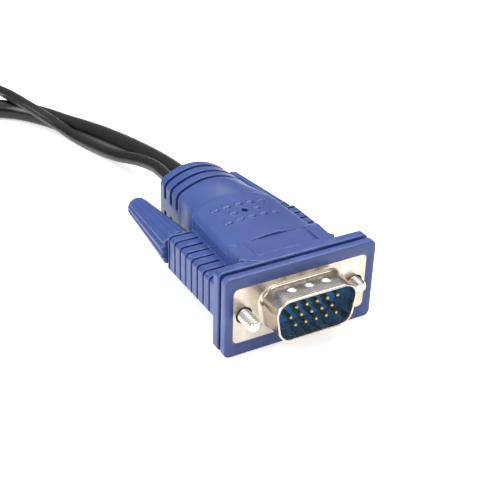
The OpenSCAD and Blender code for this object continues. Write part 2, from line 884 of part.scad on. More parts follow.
module tie(angle) {
  function turns_in(start, whole) = ((angle - start) % 360 + 360) % 360 / 360;
  v = max(
    coil_radius(turns_in(video_start, video_whole), video_whole, video_coil_r, video_rise),
    coil_radius(video_whole - (((video_end - angle) % 360 + 360) % 360) / 360,
      video_whole, video_coil_r, video_rise)
  );
  u = usb_coil_r;
  v_in = video_coil_r - video_rise * video_whole / 2;
  u_in = usb_coil_r - usb_rise * usb_whole / 2;
  r_v = video_dia / 2 + tie_gap;
  r_u = usb_dia / 2 + tie_gap;
  translate([coil_x, coil_y, 0]) rotate([0, 0, angle]) along_y(-tie_w / 2, tie_w / 2)
    difference() {
      tie_outline(v, v_in, u, u_in, r_v + tie_t, r_u + tie_t);
      tie_outline(v, v_in, u, u_in, r_v, r_u);
    }
}

module tie_outline(v, v_in, u, u_in, r_v, r_u) {
  hull() {
    for (x = [v_in, v]) translate([x, video_coil_z]) circle(r_v, $fn = 32);
    translate([v, video_coil_z + video_rise]) circle(r_v, $fn = 32);
    for (x = [u_in, u], z = [usb_coil_z, usb_coil_z + usb_rise])
      translate([x, z]) circle(r_u, $fn = 32);
  }
}

module coil_ties() {
  color([0.07, 0.07, 0.08]) for (a = tie_angles) tie(a);
}

// USB plug, in its own place, its shell pointing along -Y

module at_usb() {
  translate([usb_plug_x, usb_plug_y, usb_plug_z - mid]) children();
}

tongue_h = 1.84;
tongue_back = 1;
latch = 2.3;
latch_x = 2.7;
latch_y = -4.85;
shell_root = 6;

module usb_shell() {
  color([0.76, 0.76, 0.75])
    difference() {
      slab(usb_w, usb_h, usb_t, -usb_l, shell_root);
      slab(usb_w - 2 * usb_t, usb_h - 2 * usb_t, usb_t / 2, -usb_l - over, shell_root + over);
      both_sides()
        block(latch_x - latch / 2, latch_x + latch / 2, latch_y - latch, latch_y, 0, hood_h);
    }
}

module usb_tongue() {
  w = usb_w - 2 * usb_t - 2 * fit;
  low = mid - usb_h / 2 + usb_t + fit;
  color([0.86, 0.86, 0.84]) {
    block(-w / 2, w / 2, -usb_l + tongue_back, 0, low, low + tongue_h);
    block(-w / 2, w / 2, 0, shell_root, low, low + usb_h - 2 * usb_t - 2 * fit);
  }
}

// Each contact: its place across the plug and how far its tip is set back
contact_t = 0.2;
contact_w = 1;
contact_places = [[-3.5, 1.6], [-1, 2.6], [1, 2.6], [3.5, 1.6]];

module usb_contacts() {
  z = mid - usb_h / 2 + usb_t + fit + tongue_h;
  color([0.85, 0.68, 0.42])
    for (c = contact_places)
      block(c[0] - contact_w / 2, c[0] + contact_w / 2, -usb_l + c[1], 0, z, z + contact_t);
}

block_wall = 1.4;
grip_lines = 4;
grip_line_start = 8.8;
grip_line_pitch = 2.2;
grip_line_d = 0.3;

module usb_inner_block() {
  w = grip_w - 2 * block_wall;
  h = grip_h - 2 * block_wall;
  color([0.8, 0.8, 0.76])
    difference() {
      slab(w, h, usb_t, block_wall, grip_l - block_wall);
      slab(usb_w, usb_h, usb_t, 0, shell_root);
    }
}

module usb_grip() {
  color([0.11, 0.11, 0.12])
    difference() {
      slab(grip_w, grip_h, block_wall, 0, grip_l);
      slab(grip_w - 2 * block_wall, grip_h - 2 * block_wall, usb_t, block_wall, grip_l - block_wall);
      slab(usb_w, usb_h, usb_t, -over, block_wall + over);
      for (side = [-1, 1], i = [0:grip_lines - 1])
        let (y = grip_line_start + i * grip_line_pitch, z = mid + side * grip_h / 2)
          block(-grip_w / 4, grip_w / 4, y, y + groove_w, z - grip_line_d, z + grip_line_d);
    }
}

relief_step = 0.6;
relief_grooves = 3;
relief_groove_d = 0.3;

module usb_relief() {
  r0 = grip_h / 2 - relief_step;
  r1 = usb_dia / 2 + relief_step;
  color([0.11, 0.11, 0.12])
    translate([0, grip_l, mid]) rotate([-90, 0, 0])
      difference() {
        cylinder(r1 = r0, r2 = r1, h = relief_l);
        for (i = [1:relief_grooves])
          let (z = relief_l * i / (relief_grooves + 1))
            translate([0, 0, z]) difference() {
              cylinder(r = r0 + over, h = groove_w);
              translate([0, 0, -over]) cylinder(r = r1 - relief_groove_d, h = groove_w + 2 * over);
            }
      }
}

// What is in each plug

// Each cord in a plug: its place, its radius and where the middle of its pins is
near_cords = [
  [video_x, video_z, video_dia / 2, video_wire_x],
  [usb_x, usb_z, usb_dia / 2, usb_wire_x]
];
far_cords = [[0, mid, video_dia / 2, 0]];

module at_far() {
  translate([far_x, far_y, 0]) children();
}

module left() {
  mirror([1, 0, 0]) children();
}

front_frame();
hood_upper(near_cords);
hood_lower(near_cords);
front_shell();
rear_shell();
front_insulator();
rear_insulator();
contact_pins();
core_wires(near_cords, wire_split);
cord_end(near_cords[0]);  // video_cord_end
cord_end(near_cords[1]);  // usb_cord_end
ferrule(near_cords[0]);  // video_ferrule
ferrule(near_cords[1]);  // usb_ferrule
left() screw(0);  // left_screw
left() knob(0);  // left_knob
left() ring(0);  // left_ring
screw(screw_back);  // right_screw
knob(screw_back);  // right_knob
ring(screw_back);  // right_ring
tube(video_lead, video_dia / 2, video_sides);  // video_cord_lead
tube(video_path, video_dia / 2, coil_sides);  // video_cord_coil
tube(video_tail, video_dia / 2, video_sides);  // video_cord_tail
tube(usb_lead, usb_dia / 2, usb_sides);  // usb_cord_lead
tube(usb_path, usb_dia / 2, coil_sides);  // usb_cord_coil
tube(usb_tail, usb_dia / 2, usb_sides);  // usb_cord_tail
coil_ties();
at_far() front_frame();  // far_front_frame
at_far() hood_upper(far_cords);  // far_hood_upper
at_far() hood_lower(far_cords);  // far_hood_lower
at_far() front_shell();  // far_front_shell
at_far() rear_shell();  // far_rear_shell
at_far() front_insulator();  // far_front_insulator
at_far() rear_insulator();  // far_rear_insulator
at_far() contact_pins();  // far_contact_pins
at_far() core_wires(far_cords, 0);  // far_core_wires
at_far() cord_end(far_cords[0]);  // far_cord_end
at_far() ferrule(far_cords[0]);  // far_ferrule
at_far() left() screw(0);  // far_left_screw
at_far() left() knob(0);  // far_left_knob
at_far() left() ring(0);  // far_left_ring
at_far() screw(0);  // far_right_screw
at_far() knob(0);  // far_right_knob
at_far() ring(0);  // far_right_ring
at_usb() usb_shell();
at_usb() usb_tongue();
at_usb() usb_contacts();
at_usb() usb_inner_block();
at_usb() usb_grip();
at_usb() usb_relief();
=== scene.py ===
"""A keyboard, video and mouse cable: a 15-pin video plug in a blue moulded hood, its two cords,
the coil of what is left over, a second video plug and a USB plug.

Everything is in metres in the frame's own axes: the origin is on the table below the middle of
the flange's front face, the pins point along -Y and Z is up. Shapes are worked out in
millimetres and scaled when their mesh is made.
"""

import json
import math

import bpy
import numpy as np
from mathutils import Matrix, Vector
from mathutils.geometry import tessellate_polygon

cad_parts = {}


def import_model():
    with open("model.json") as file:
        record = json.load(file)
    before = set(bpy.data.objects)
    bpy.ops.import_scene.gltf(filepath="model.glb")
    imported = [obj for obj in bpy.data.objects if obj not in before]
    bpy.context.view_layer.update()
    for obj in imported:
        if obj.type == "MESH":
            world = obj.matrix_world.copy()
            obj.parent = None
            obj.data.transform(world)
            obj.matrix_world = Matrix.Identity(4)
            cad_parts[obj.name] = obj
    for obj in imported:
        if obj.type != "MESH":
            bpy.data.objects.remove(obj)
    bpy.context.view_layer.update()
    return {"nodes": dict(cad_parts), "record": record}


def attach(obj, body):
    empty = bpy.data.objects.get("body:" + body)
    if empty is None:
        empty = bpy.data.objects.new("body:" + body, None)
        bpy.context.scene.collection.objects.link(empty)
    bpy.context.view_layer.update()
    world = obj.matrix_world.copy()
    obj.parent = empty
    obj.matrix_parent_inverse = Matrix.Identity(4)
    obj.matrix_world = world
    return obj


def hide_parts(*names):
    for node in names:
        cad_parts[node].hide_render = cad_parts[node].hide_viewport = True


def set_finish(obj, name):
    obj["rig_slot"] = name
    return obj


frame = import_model()

MM = 0.001

# Places of the plugs, in millimetres
FAR_PLACE = (-94.5, -1.0, 0.0)
USB_PLACE = (-68.5, 11.0, 4.0)

# Hood
FRAME_W, HOOD_H, FRAME_D, LIP_T, EDGE_R = 33.3, 17.3, 1.5, 0.25, 0.22
CORNER_R, JOINT_W, JOINT_D, PLATE_T = 1.1, 0.95, 1.0, 2.15
WAIST_W, SHOULDER_W, PANEL_W, BODY_L, PANEL_ARC_R = 20.2, 20.6, 18.8, 23.0, 15.0
CROWN_DROP, TAB_L = 1.45, 6.4
NECK_L, COLLAR_L, COLLAR_W, RIM_W, ARCH_H, ARCH_DROP = 8.2, 10.7, 16.1, 15.1, 9.4, 2.7
GROOVE_W, GROOVE_D, GROOVE_PITCH = 1.0, 1.0, 3.2
WINGS_W, WING_H, WING_L, RIB_LINES, RIB_PITCH, RIB_GAP, RIB_D = 30.5, 8.2, 22.4, 8, 2.47, 0.55, 0.45
BUMP_PITCH, BUMP_ROW, BUMP_DIA, BUMP_H, HOLE_DIA, HOLE_D = 2.73, 2.84, 1.8, 0.4, 1.4, 1.0
POCKET_W, POCKET_L, POCKET_ARC_R, POCKET_D = 13.9, 5.8, 50.0, 0.5

MID = HOOD_H / 2
PLATE_Y = FRAME_D + JOINT_W
BODY_Y = PLATE_Y + PLATE_T
WAIST_R, WAIST_Y = 4.0, BODY_Y + 2.4
SHOULDER_Y = WAIST_Y + 3.3
PANEL_Y = BODY_Y + BODY_L
COLLAR_Y = PANEL_Y + NECK_L
RIM_Y = COLLAR_Y + COLLAR_L
WING_Y = BODY_Y + WING_L
RING_Y = WING_Y - 14.4
TAB_Y = BODY_Y + TAB_L
CROWN_R = ((SHOULDER_W / 2) ** 2 + CROWN_DROP**2) / (2 * CROWN_DROP)
FIRST_GROOVE_Y = COLLAR_Y + 1.1
GROOVE_TOP, GROOVE_LOW = 2.8, -0.2
BUMPS_Y = PANEL_Y - 5.42
POCKET_Y = BODY_Y + 0.9

# Connector and thumbscrews
FLANGE_W, FLANGE_H, FLANGE_T, FLANGE_R, FLANGE_HOLE_R = 30.8, 12.55, 0.5, 1.6, 1.75
SHELL_W, SHELL_H, SHELL_T, SHELL_L, SHELL_R, SHELL_ANGLE = 16.92, 8.36, 0.4, 5.9, 2.6, 10.0
DIMPLE_PITCH, DIMPLE_Y, DIMPLE_R, DIMPLE_H, BLEND_R = 3.8, -2.1, 1.1, 0.25, 0.8
HOLE_SIDES = 32
FLANGE_GAP, RECESS_D = 0.1, 1.05
BOX_W, BOX_H, BOX_R, BOX_END = 18.9, 10.8, 0.1, 7.9
CAVITY_W, CAVITY_H, CAVITY_BACK = 17.2, 12.8, 1.0
TURN_GAP, RING_R, RING_ROOM, RING_TRAVEL = 0.08, 1.95, 0.1, 3.9
SCREW_X, SCREW_R, SCREW_L, SCREW_BACK = 24.99 / 2, 1.42, 4.6, 2.2
THREAD_PITCH, THREAD_DEPTH = 0.635, 0.34
KNOB_R, KNOB_END_R, KNOB_L, KNOB_GAP, FLUTES = 4.03, 2.4, 21.7, 0.3, 14
FLUTE_SIDES, FLUTE_D, FLUTE_FADE, KNOB_TIP_R = 12, 0.36, 1.2, 1.5
SCREW_TAIL, NECK_R, RING_NECK_R, LAND_L = 17.0, 1.25, 1.1, 0.8

# Cords
VIDEO_DIA, USB_DIA = 5.2, 3.0
VIDEO_EXIT = (2.8, RIM_Y, MID - 0.45)
USB_EXIT = (-1.8, RIM_Y, MID + 1.35)


# Camera: where the photograph was taken from

CAMERA_AT = (-0.09095, -0.13353, 0.11312)
CAMERA_AZIMUTH, CAMERA_TILT, CAMERA_ROLL, CAMERA_LENS = 30.70, -30.285, 1.898, 72.32


def make_camera():
    data = bpy.data.cameras.new("camera")
    data.lens = CAMERA_LENS
    data.clip_start, data.clip_end = 0.01, 10
    camera = bpy.data.objects.new("camera", data)
    bpy.context.scene.collection.objects.link(camera)
    a, e, r = (math.radians(v) for v in (CAMERA_AZIMUTH, CAMERA_TILT, CAMERA_ROLL))
    forward = Vector((math.sin(a) * math.cos(e), math.cos(a) * math.cos(e), math.sin(e)))
    level = Vector((math.cos(a), -math.sin(a), 0))
    right = level * math.cos(r) + level.cross(forward) * math.sin(r)
    up = right.cross(forward)
    turn = Matrix((right, up, -forward)).transposed()
    camera.matrix_world = Matrix.Translation(CAMERA_AT) @ turn.to_4x4()
    bpy.context.scene.camera = camera


make_camera()


# Mesh helpers


def put(name, points, faces, place=(0, 0, 0), mirror=False):
    """A smooth mesh object from points in millimetres, moved to place and mirrored if asked."""
    p = np.array(points, float)
    if mirror:
        p = p * (-1, 1, 1)
        faces = [tuple(reversed(f)) for f in faces]
    p = (p + place) * MM
    mesh = bpy.data.meshes.new(name)
    mesh.from_pydata(p.tolist(), [], [tuple(int(i) for i in f) for f in faces])
    mesh.validate()
    mesh.shade_smooth()
    obj = bpy.data.objects.new(name, mesh)
    bpy.context.scene.collection.objects.link(obj)
    return obj


def apply_modifiers(obj):
    graph = bpy.context.evaluated_depsgraph_get()
    mesh = bpy.data.meshes.new_from_object(obj.evaluated_get(graph))
    obj.modifiers.clear()
    obj.data = mesh


def sharpen(obj, angle=35):
    obj.data.set_sharp_from_angle(angle=math.radians(angle))
    return obj


def arc(cx, cy, r, start, end, n):
    return [
        (cx + r * math.cos(math.radians(a)), cy + r * math.sin(math.radians(a)))
        for a in np.linspace(start, end, n + 1)
    ]


def loft(loops, closed=False, cap_start=True, cap_end=True):
    """Faces between like loops of points. The first and last are capped or joined."""
    n = len(loops[0])
    points = [p for loop in loops for p in loop]
    count = len(loops)
    faces = []
    for i in range(count if closed else count - 1):
        a, b = i * n, (i + 1) % count * n
        for k in range(n):
            j = (k + 1) % n
            faces.append((a + k, a + j, b + j, b + k))
    if not closed and cap_start:
        faces.append(tuple(range(n - 1, -1, -1)))
    if not closed and cap_end:
        faces.append(tuple((count - 1) * n + k for k in range(n)))
    return points, faces


# Fields: negative inside, and about the distance in millimetres near the surface


def round_max(a, b, r):
    return np.minimum(np.maximum(a, b), -r) + np.hypot(np.maximum(a + r, 0), np.maximum(b + r, 0))


def round_min(a, b, r):
    return -round_max(-a, -b, r)


def rectangle(x, z, w, h, r):
    """A rounded rectangle w by h round the origin."""
    dx, dz = np.abs(x) - w / 2 + r, np.abs(z) - h / 2 + r
    return np.hypot(np.maximum(dx, 0), np.maximum(dz, 0)) + np.minimum(np.maximum(dx, dz), 0) - r


def between(v, low, high):
    return np.abs(v - (low + high) / 2) - (high - low) / 2


def smooth_step(t):
    t = np.clip(t, 0, 1)
    return t * t * (3 - 2 * t)


def gradient(field, p, h=0.02):
    g = np.empty_like(p)
    for k in range(3):
        step = np.zeros(3)
        step[k] = h
        g[:, k] = (field(*(p + step).T) - field(*(p - step).T)) / (2 * h)
    return g


def surface_net(field, low, high, cell):
    """Points and quads of the field's zero surface, one point in each cell that it crosses."""
    low, high = np.array(low, float), np.array(high, float)
    size = np.ceil((high - low) / cell).astype(int) + 1
    grid = np.meshgrid(*[low[k] + cell * np.arange(size[k]) for k in range(3)], indexing="ij")
    f = field(*grid)
    shape = size - 1
    total = np.zeros((shape.prod(), 3))
    count = np.zeros(shape.prod())
    quads = []
    for axis in range(3):
        near = [slice(None)] * 3
        far = [slice(None)] * 3
        near[axis], far[axis] = slice(0, -1), slice(1, None)
        a, b = f[tuple(near)], f[tuple(far)]
        edges = np.argwhere((a < 0) != (b < 0))
        fa, fb = a[tuple(edges.T)], b[tuple(edges.T)]
        point = edges.astype(float)
        point[:, axis] += fa / (fa - fb)
        first, second = (axis + 1) % 3, (axis + 2) % 3
        corners = []
        for d1, d2 in ((-1, -1), (0, -1), (0, 0), (-1, 0)):
            at = edges.copy()
            at[:, first] += d1
            at[:, second] += d2
            flat = np.ravel_multi_index(tuple(at.T), tuple(shape))
            corners.append(flat)
            np.add.at(total, flat, point)
            np.add.at(count, flat, 1)
        quad = np.stack(corners, 1)
        quad[fa > 0] = quad[fa > 0][:, ::-1]
        quads.append(quad)
    used = np.flatnonzero(count)
    number = np.full(shape.prod(), -1)
    number[used] = np.arange(len(used))
    points = low + cell * total[used] / count[used][:, None]
    return points, number[np.concatenate(quads)]


def settle(field, p, most):
    """Moves points onto the field's surface, by no more than most."""
    for _ in range(3):
        g = gradient(field, p)
        step = (field(*p.T) / np.maximum((g * g).sum(1), 0.05))[:, None] * g
        p = p - np.clip(step, -most, most)
    return p


def put_field(name, field, low, high, cell, keep):
    """The field's surface as a mesh object, thinned to a share of its faces, with true normals."""
    points, quads = surface_net(field, low, high, cell)
    obj = put(name, settle(field, points, cell / 2), quads)
    thin = obj.modifiers.new("thin", "DECIMATE")
    thin.ratio = keep
    apply_modifiers(obj)
    mesh = obj.data
    at = np.empty(len(mesh.vertices) * 3)
    mesh.vertices.foreach_get("co", at)
    at = settle(field, at.reshape(-1, 3) / MM, cell / 4)
    mesh.vertices.foreach_set("co", (at * MM).ravel())
    g = gradient(field, at, 0.04)
    g /= np.maximum(np.linalg.norm(g, axis=1), 1e-6)[:, None]
    mesh.shade_smooth()
    mesh.normals_split_custom_set_from_vertices(g.tolist())
    return obj


# Cords


def smooth_route(points, parts=5):
    """A Catmull-Rom curve through the points."""
    p = np.array(points, float)
    p = np.vstack([2 * p[0] - p[1], p, 2 * p[-1] - p[-2]])
    route = []
    for i in range(1, len(p) - 2):
        a, b, c, d = p[i - 1 : i + 3]
        for t in np.arange(parts) / parts:
            route.append(
                0.5 * (2 * b + (c - a) * t + (2 * a - 5 * b + 4 * c - d) * t**2
                       + (3 * b - a - 3 * c + d) * t**3)
            )
    route.append(p[-2])
    return np.array(route)


COIL_AT = (-70.0, 100.0)
TURN_POINTS = 48


def coil(whole, r, pitch, z, start, straight):
    """A spiral in for half of its turns and out again a layer higher, with straight ends."""
    u = np.linspace(0, whole, math.ceil(whole * TURN_POINTS) + 1)
    radius = r - pitch * (whole / 2 - np.abs(u - whole / 2))
    a = np.radians(start + 360 * u)
    climb = smooth_step((u - whole / 2) * 2 + 0.5)
    p = np.stack(
        [COIL_AT[0] + radius * np.cos(a), COIL_AT[1] + radius * np.sin(a), z + pitch * climb], 1
    )
    first = p[0] - straight * np.array([-math.sin(a[0]), math.cos(a[0]), 0])
    last = p[-1] + straight * np.array([-math.sin(a[-1]), math.cos(a[-1]), 0])
    return np.vstack([first, p, last])


def before(p, d):
    return [p[0] - d * (p[1] - p[0]) / np.linalg.norm(p[1] - p[0])]


def after(p, d):
    return [p[-1] + d * (p[-1] - p[-2]) / np.linalg.norm(p[-1] - p[-2])]


VIDEO_LEAD = [
    (3.1, 59, 8.1), (2.8, 66, 7.7), (2.2, 72.5, 7.2), (1.4, 79, 6.6),
    (0.3, 86.5, 5.8), (-1.2, 95, 4.8), (-3.4, 104, 3.7), (-5.8, 111.5, 2.9),
    (-8.5, 118, 2.7), (-11.6, 123, 2.7), (-15, 127, 2.7), (-19.5, 130.5, 2.7),
    (-25, 134, 2.7), (-31, 137, 2.7), (-38, 139, 2.7), (-46, 139.8, 2.7),
    (-55, 139, 2.8), (-63, 137.6, 3.2),
]
VIDEO_TAIL = [
    (-104.7, 86, 9.5), (-102.6, 77, 9.4), (-99.6, 68, 9.2), (-96.8, 60, 8.9), (-95, 54.5, 8.7),
]
USB_LEAD = [
    (-1.6, 52, 10.1), (-1.2, 58, 10), (-1.1, 63, 9.6), (-1.7, 68, 8.9), (-2.9, 72.5, 8.1),
    (-4.4, 77, 7.2), (-5.5, 82, 6.3), (-6.3, 87.5, 5.5), (-7.1, 93.5, 4.8),
    (-8, 99.5, 4.5), (-9, 105.5, 4.7), (-10.6, 111, 5.4), (-12.3, 116, 6.2),
    (-13.7, 120, 6.7), (-14.8, 124, 7), (-15.8, 129, 6.9), (-16.7, 134.5, 6.3),
    (-17.6, 139, 6), (-19.6, 142.8, 6), (-23, 145.3, 6.2), (-27.5, 146, 6.8),
    (-33.5, 145, 8), (-40.5, 142.5, 10), (-48, 139, 12.4), (-56, 135.2, 13.8),
    (-64, 131.4, 14.1), (-72, 127.5, 14.1), (-79, 124.2, 14),
]
USB_TAIL = [
    (-81, 75.5, 17.4), (-76.5, 71, 16.8), (-72.8, 66, 15.3), (-70.2, 61.2, 12.6),
    (-69, 56.6, 9.2), (-68.6, 52, 6.2),
]

TIE_T, TIE_GAP, TIE_W, TIE_ANGLES = 0.8, 0.3, 8.0, (155, 335)
COIL_GAP = 0.55
VIDEO_TURNS, VIDEO_COIL_R, VIDEO_RISE = 6 + 80 / 360, 35.0, VIDEO_DIA + COIL_GAP
VIDEO_COIL_Z = TIE_T + TIE_GAP + VIDEO_DIA / 2
USB_TURNS, USB_COIL_R, USB_RISE = 8 + 98 / 360, 25.4, USB_DIA + COIL_GAP
USB_COIL_Z = VIDEO_COIL_Z + VIDEO_RISE + VIDEO_DIA / 2 + COIL_GAP + USB_DIA / 2
USB_PLUG_END = (USB_PLACE[0], USB_PLACE[1] + 33, USB_PLACE[2])
FAR_PLUG_END = (FAR_PLACE[0], FAR_PLACE[1] + RIM_Y, MID)


def route(start, lead, turns, tail, end, d):
    """A cord's whole line: out of one plug, into the coil, and from it into the other plug."""
    out = [start, (start[0], start[1] + d, start[2])]
    back = [(end[0], end[1] + d, end[2]), end]
    first = smooth_route(out + lead + before(turns, d) + [turns[0]])
    last = smooth_route([turns[-1]] + after(turns, d) + tail + back)
    return np.vstack([first, turns[1:-1], last])


CORD_SIDES = 20


def put_cord(name, line, dia):
    """A round tube along a line that never stands upright, its end faces square to the line."""
    t = np.vstack([line[1] - line[0], line[2:] - line[:-2], line[-1] - line[-2]])
    t /= np.linalg.norm(t, axis=1)[:, None]
    side = np.cross((0, 0, 1), t)
    side /= np.linalg.norm(side, axis=1)[:, None]
    up = np.cross(t, side)
    loops = []
    for at, s, u in zip(line, side, up):
        a = 2 * math.pi * np.arange(CORD_SIDES) / CORD_SIDES
        ring = at + dia / 2 * (np.cos(a)[:, None] * s + np.sin(a)[:, None] * u)
        loops.append([tuple(v) for v in ring])
    points, faces = loft(loops)
    obj = put(name, points, faces)
    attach(obj, "root")
    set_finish(obj, "black_cord")
    return sharpen(obj, 60)


video_turns = coil(VIDEO_TURNS, VIDEO_COIL_R, VIDEO_RISE, VIDEO_COIL_Z, 100, VIDEO_DIA)
usb_turns = coil(USB_TURNS, USB_COIL_R, USB_RISE, USB_COIL_Z, 127, USB_DIA)
video_line = route(VIDEO_EXIT, VIDEO_LEAD, video_turns, VIDEO_TAIL, FAR_PLUG_END, VIDEO_DIA)
usb_line = route(USB_EXIT, USB_LEAD, usb_turns, USB_TAIL, USB_PLUG_END, USB_DIA)
video_cord = put_cord("video_cord", video_line, VIDEO_DIA)
usb_cord = put_cord("usb_cord", usb_line, USB_DIA)
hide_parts("video_cord_lead", "video_cord_coil", "video_cord_tail")
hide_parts("usb_cord_lead", "usb_cord_coil", "usb_cord_tail")


# Hood


def half_width(y):
    """Half the body's width at y, from the flare at the plate to the panel's rear corners."""
    flare = np.clip((WAIST_Y - y) / (WAIST_Y - BODY_Y), 0, 1)
    waist = WAIST_W / 2 + WAIST_R * (1 - np.sqrt(1 - flare**2))
    swell = (SHOULDER_W - WAIST_W) / 2 * smooth_step((y - WAIST_Y) / (SHOULDER_Y - WAIST_Y))
    taper = (SHOULDER_W - PANEL_W) / 2 * np.maximum(y - SHOULDER_Y, 0) / (PANEL_Y - SHOULDER_Y)
    return waist + swell - taper


def crown_fall(x):
    """How far the crowned face has fallen at x."""
    return CROWN_R - math.sqrt(CROWN_R**2 - x**2)


def neck(x, y, z, inset=0.0):
    """The neck and the collar: an arch that narrows and rises from the body to the rim."""
    s = smooth_step((y - PANEL_Y + 0.5) / (NECK_L + 0.5))
    t = np.clip((y - COLLAR_Y) / COLLAR_L, 0, 1)
    w = (PANEL_W / 2 - 0.1) * (1 - s) + COLLAR_W / 2 * s - (COLLAR_W - RIM_W) / 2 * t - inset
    top = (MID - 0.1) * (1 - s) + ARCH_H * s - 0.4 * t - inset
    drop = crown_fall(PANEL_W / 2 - 0.1) * (1 - s) + ARCH_DROP * s
    slope = 2 * drop * np.abs(x) / w**2
    arch = (np.abs(z) - top + drop * (x / w) ** 2) / np.sqrt(1 + slope**2)
    return round_max(np.abs(x) - w, arch, 0.9)


def hood_field(x, y, z):
    z = z - MID
    ax = np.abs(x)
    plate = round_max(rectangle(x, z, FRAME_W, HOOD_H, CORNER_R), between(y, PLATE_Y, BODY_Y), 0.3)
    web = np.maximum(
        rectangle(x, z, FRAME_W - 2 * JOINT_D, HOOD_H - 2 * JOINT_D, CORNER_R),
        between(y, FRAME_D, PLATE_Y + 1),
    )
    side = (ax - half_width(y)) * np.where(y < WAIST_Y, 0.6, 0.99)
    tip = PANEL_Y + PANEL_ARC_R - math.sqrt(PANEL_ARC_R**2 - (PANEL_W / 2) ** 2)
    rear = np.hypot(x, y - tip + PANEL_ARC_R) - PANEL_ARC_R
    outline = np.maximum(round_max(side, rear, 0.5), PLATE_Y - y)
    crown = np.hypot(x, np.abs(z) - MID + CROWN_R) - CROWN_R
    tab = round_max(np.abs(z) - MID, y - TAB_Y, 0.12)
    body = np.minimum(round_max(outline, crown, 1.0), round_max(outline, tab, 0.35))
    throat = np.maximum(round_max(neck(x, y, z), y - RIM_Y, 0.35), PANEL_Y - 3 - y)
    throat = round_max(throat, -MID - z, 0.3)
    wing = round_max(rectangle(x, z, WINGS_W, WING_H, 0.9), y - WING_Y, 0.35)
    ribs = np.full_like(body, 1e3)
    for i in range(RIB_LINES):
        start = WING_Y - (i + 0.5) * RIB_PITCH
        ribs = np.minimum(ribs, between(y, start, start + RIB_GAP))
    skin = -rectangle(x, z, WINGS_W - 2 * RIB_D, WING_H - 2 * RIB_D, 0.9)
    wing = round_max(wing, -np.maximum(ribs, np.maximum(skin, SHOULDER_W / 2 - RIB_D - ax)), 0.1)
    wing = np.maximum(wing, PLATE_Y - y)

    grooves = np.full_like(body, 1e3)
    for i in range(3):
        start = FIRST_GROOVE_Y + i * GROOVE_PITCH
        grooves = np.minimum(grooves, between(y, start, start + GROOVE_W))
    height = np.minimum(GROOVE_TOP - z, z - GROOVE_LOW)
    grooves = np.maximum(grooves, np.maximum(height, -neck(x, y, z, GROOVE_D)))
    throat = round_max(throat, -grooves, 0.15)

    f = round_min(body, throat, 0.1)
    f = round_min(f, wing, 0.25)
    f = np.minimum(round_min(f, plate, 0.2), web)

    knob_room = np.hypot(ax - SCREW_X, z) - KNOB_R - 0.35
    f = round_max(f, -np.maximum(knob_room, WING_Y - y), 0.1)
    return dressed(f, x, y, z)


def dressed(f, x, y, z):
    """The blind hole and the label pocket on top, and the rooms inside."""
    on_top = z - MID
    hole = np.maximum(np.hypot(x, y - BUMPS_Y) - HOLE_DIA / 2, -HOLE_D - on_top)
    f = round_max(f, -hole, 0.12)
    pocket = np.maximum(
        np.maximum(np.abs(x) - POCKET_W / 2, POCKET_Y - y),
        np.hypot(x, y - POCKET_Y - POCKET_L + POCKET_ARC_R) - POCKET_ARC_R,
    )
    f = round_max(f, -np.maximum(pocket, -POCKET_D - on_top), 0.08)
    room = np.maximum(rectangle(x, z, BOX_W, BOX_H, BOX_R), y - BOX_END)
    cavity = np.maximum(rectangle(x, z, CAVITY_W, CAVITY_H, FLANGE_R), y - PANEL_Y + CAVITY_BACK)
    room = np.minimum(room, cavity)
    bore = np.hypot(np.abs(x) - SCREW_X, z)
    room = np.minimum(room, bore - SCREW_R - TURN_GAP)
    ring_room = between(y, RING_Y - RING_ROOM, RING_Y + RING_TRAVEL)
    room = np.minimum(room, np.maximum(bore - RING_R - TURN_GAP, ring_room))
    return np.maximum(f, -room)


HOOD_CELL = 0.2
HOOD_KEEP = 0.45


def copy_to(obj, name, place):
    """A copy of a piece at another plug's place."""
    twin = obj.copy()
    twin.data = obj.data.copy()
    twin.name = name
    twin.data.transform(Matrix.Translation(Vector(place) * MM))
    bpy.context.scene.collection.objects.link(twin)
    return twin


def finish_piece(obj, body, slot, *nodes):
    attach(obj, body)
    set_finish(obj, slot)
    if nodes:
        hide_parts(*nodes)
    pieces[obj.name] = obj
    return obj


pieces = {}


def both_plugs(obj, nodes, slot):
    """A piece of the near plug that stands for some nodes, and its copy in the far plug."""
    twin = copy_to(obj, "far_" + obj.name, FAR_PLACE)
    finish_piece(obj, "root", slot, *nodes)
    finish_piece(twin, "root", slot, *("far_" + n for n in nodes))


margin = 0.7
hood_low = (-FRAME_W / 2 - margin, FRAME_D - margin, -margin)
hood_high = (FRAME_W / 2 + margin, RIM_Y + margin, HOOD_H + BUMP_H + margin)
hood = put_field("hood", hood_field, hood_low, hood_high, HOOD_CELL, HOOD_KEEP)
both_plugs(hood, ("hood_upper", "hood_lower"), "blue_plastic")


BUMP_SIDES = 28
BUMP_SKIRT = ((1.0, 0.06), (1.06, 0.015), (1.14, -0.005), (1.2, -0.05), (1.15, -0.3))


def bump_profile():
    """Share of the bump's radius and height above the face, from its top out to its sunk foot."""
    rows = [(share, BUMP_H * math.sqrt(1 - share**4)) for share in np.linspace(0.08, 0.96, 12)]
    return rows + list(BUMP_SKIRT)


